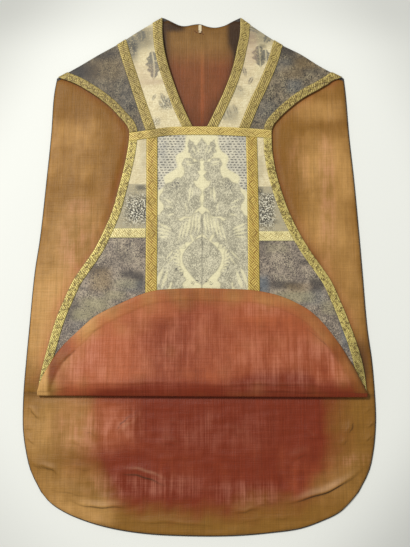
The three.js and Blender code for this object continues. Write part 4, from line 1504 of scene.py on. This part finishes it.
above_bar = shifted(chest_seam, CHEST_BAR / 2 + GAP)
below_bar = shifted(chest_seam, -CHEST_BAR / 2 - GAP)
for hand, lines in HANDS.items():
    way, bar_y, edge, column = lines["way"], SHORT_BAR_Y[hand], lines["edge"], lines["column"]
    strap_top = shifted(shoulder_y, -SHOULDER_INSET)
    neck = between(way, within(lines["neck"], way * NECK_GALLOON), lines["neck"])
    half = way * SHOULDER_GALLOON / 2
    shoulder = between(way, within(lines["seam"], half), within(lines["seam"], -half))
    armhole = between(way, edge, within(edge, -way * EDGE_GALLOON))
    half = way * COLUMN_GALLOON / 2
    strip = between(way, shifted(column, half), shifted(column, -half))
    short = between(way, within(edge, -way * (EDGE_GALLOON + GAP)), shifted(column, half + way * GAP))
    lace(f"galloon_neck_{hand}", "neck", NECK_GALLOON, *neck, strap_top, above_bar, 10, 110)
    lace(f"galloon_shoulder_{hand}", "neck", SHOULDER_GALLOON, *shoulder, strap_top, above_bar, 10, 100)
    lace(f"galloon_armhole_{hand}", "edge", EDGE_GALLOON, *armhole, strap_top, above_bar, 10, 110)
    lace(f"galloon_column_{hand}", "column", COLUMN_GALLOON, *strip, below_bar, fold_y, 10, 140)
    lace(f"galloon_side_{hand}", "side", EDGE_GALLOON, *armhole, below_bar, fold_y, 10, 180)
    lace(f"galloon_short_bar_{hand}", "short", SHORT_BAR, *short, level(bar_y + SHORT_BAR / 2),
         level(bar_y - SHORT_BAR / 2), 8, 40, upright=False)
lace("galloon_chest_bar", "bar", CHEST_BAR, front_left, front_right, shifted(chest_seam, CHEST_BAR / 2),
     shifted(chest_seam, -CHEST_BAR / 2), 10, 150, upright=False)


# Neck loop: a short pale cotton tape at the back neck, laid on the lining. Its foot is held down by a
# few coarse stitches in brown thread.
LOOP_SIZE = Vector((6.4, 17.6, 1.0)) * MM
LOOP_PLACE = Vector((0.5, 503.5, FRONT_Z + 0.5)) * MM
LOOP_CORNER = 2 * MM
tape_cloth, tape_shader = finish_of("tape", 0.85)
tape_weave = noise_of(tape_cloth, (900, 900, 900))
paint(tape_shader, mixed(tape_weave, seen(190, 170, 130), seen(232, 218, 186)), tape_weave, 0.0003)
tape = bmesh.new()
bmesh.ops.create_cube(tape, size=1)
bmesh.ops.scale(tape, verts=tape.verts, vec=LOOP_SIZE)
upright = [e for e in tape.edges if abs(e.verts[0].co.z - e.verts[1].co.z) > LOOP_SIZE.z / 2]
bmesh.ops.bevel(tape, geom=upright, offset=LOOP_CORNER, segments=4, profile=0.5, affect="EDGES")
bmesh.ops.translate(tape, verts=tape.verts, vec=LOOP_PLACE)
bmesh.ops.recalc_face_normals(tape, faces=tape.faces)
loop = put("neck_loop_tape", "neck_loop", tape, tape_cloth)
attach(loop, "root")
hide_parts("neck_loop")

# Rows of (from x, y, to x, y) of the stitches beside and across the loop's foot
STITCHES = [
    (-12.5, 499.5, -8, 497),
    (-9, 495.5, -4.5, 494.5),
    (-4, 498.5, 0.5, 498),
    (1.5, 497, 5.5, 496.5),
    (4, 493.5, 9, 490.5),
    (-2, 494, 3, 493.5),
]
thread_cloth, thread_shader = finish_of("brown_thread", 0.8)
paint(thread_shader, mixed(noise_of(thread_cloth, (900, 900, 900)), seen(70, 34, 14), seen(118, 66, 30)))
stitches = bmesh.new()
for x1, y1, x2, y2 in STITCHES:
    length = math.hypot(x2 - x1, y2 - y1)
    high = FRONT_Z + (1.0 if abs((x1 + x2) / 2 - 0.5) < 3.4 else -0.1)
    made = bmesh.ops.create_uvsphere(stitches, u_segments=10, v_segments=8, radius=1 * MM)["verts"]
    bmesh.ops.scale(stitches, verts=made, vec=(length / 2, 1.0, 0.5))
    turn = Matrix.Rotation(math.atan2(y2 - y1, x2 - x1), 3, "Z")
    bmesh.ops.rotate(stitches, verts=made, cent=(0, 0, 0), matrix=turn)
    bmesh.ops.translate(stitches, verts=made, vec=((x1 + x2) / 2 * MM, (y1 + y2) / 2 * MM, high * MM))
stitching = put("loop_stitches", "loop_stitches", stitches, thread_cloth)
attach(stitching, "root")
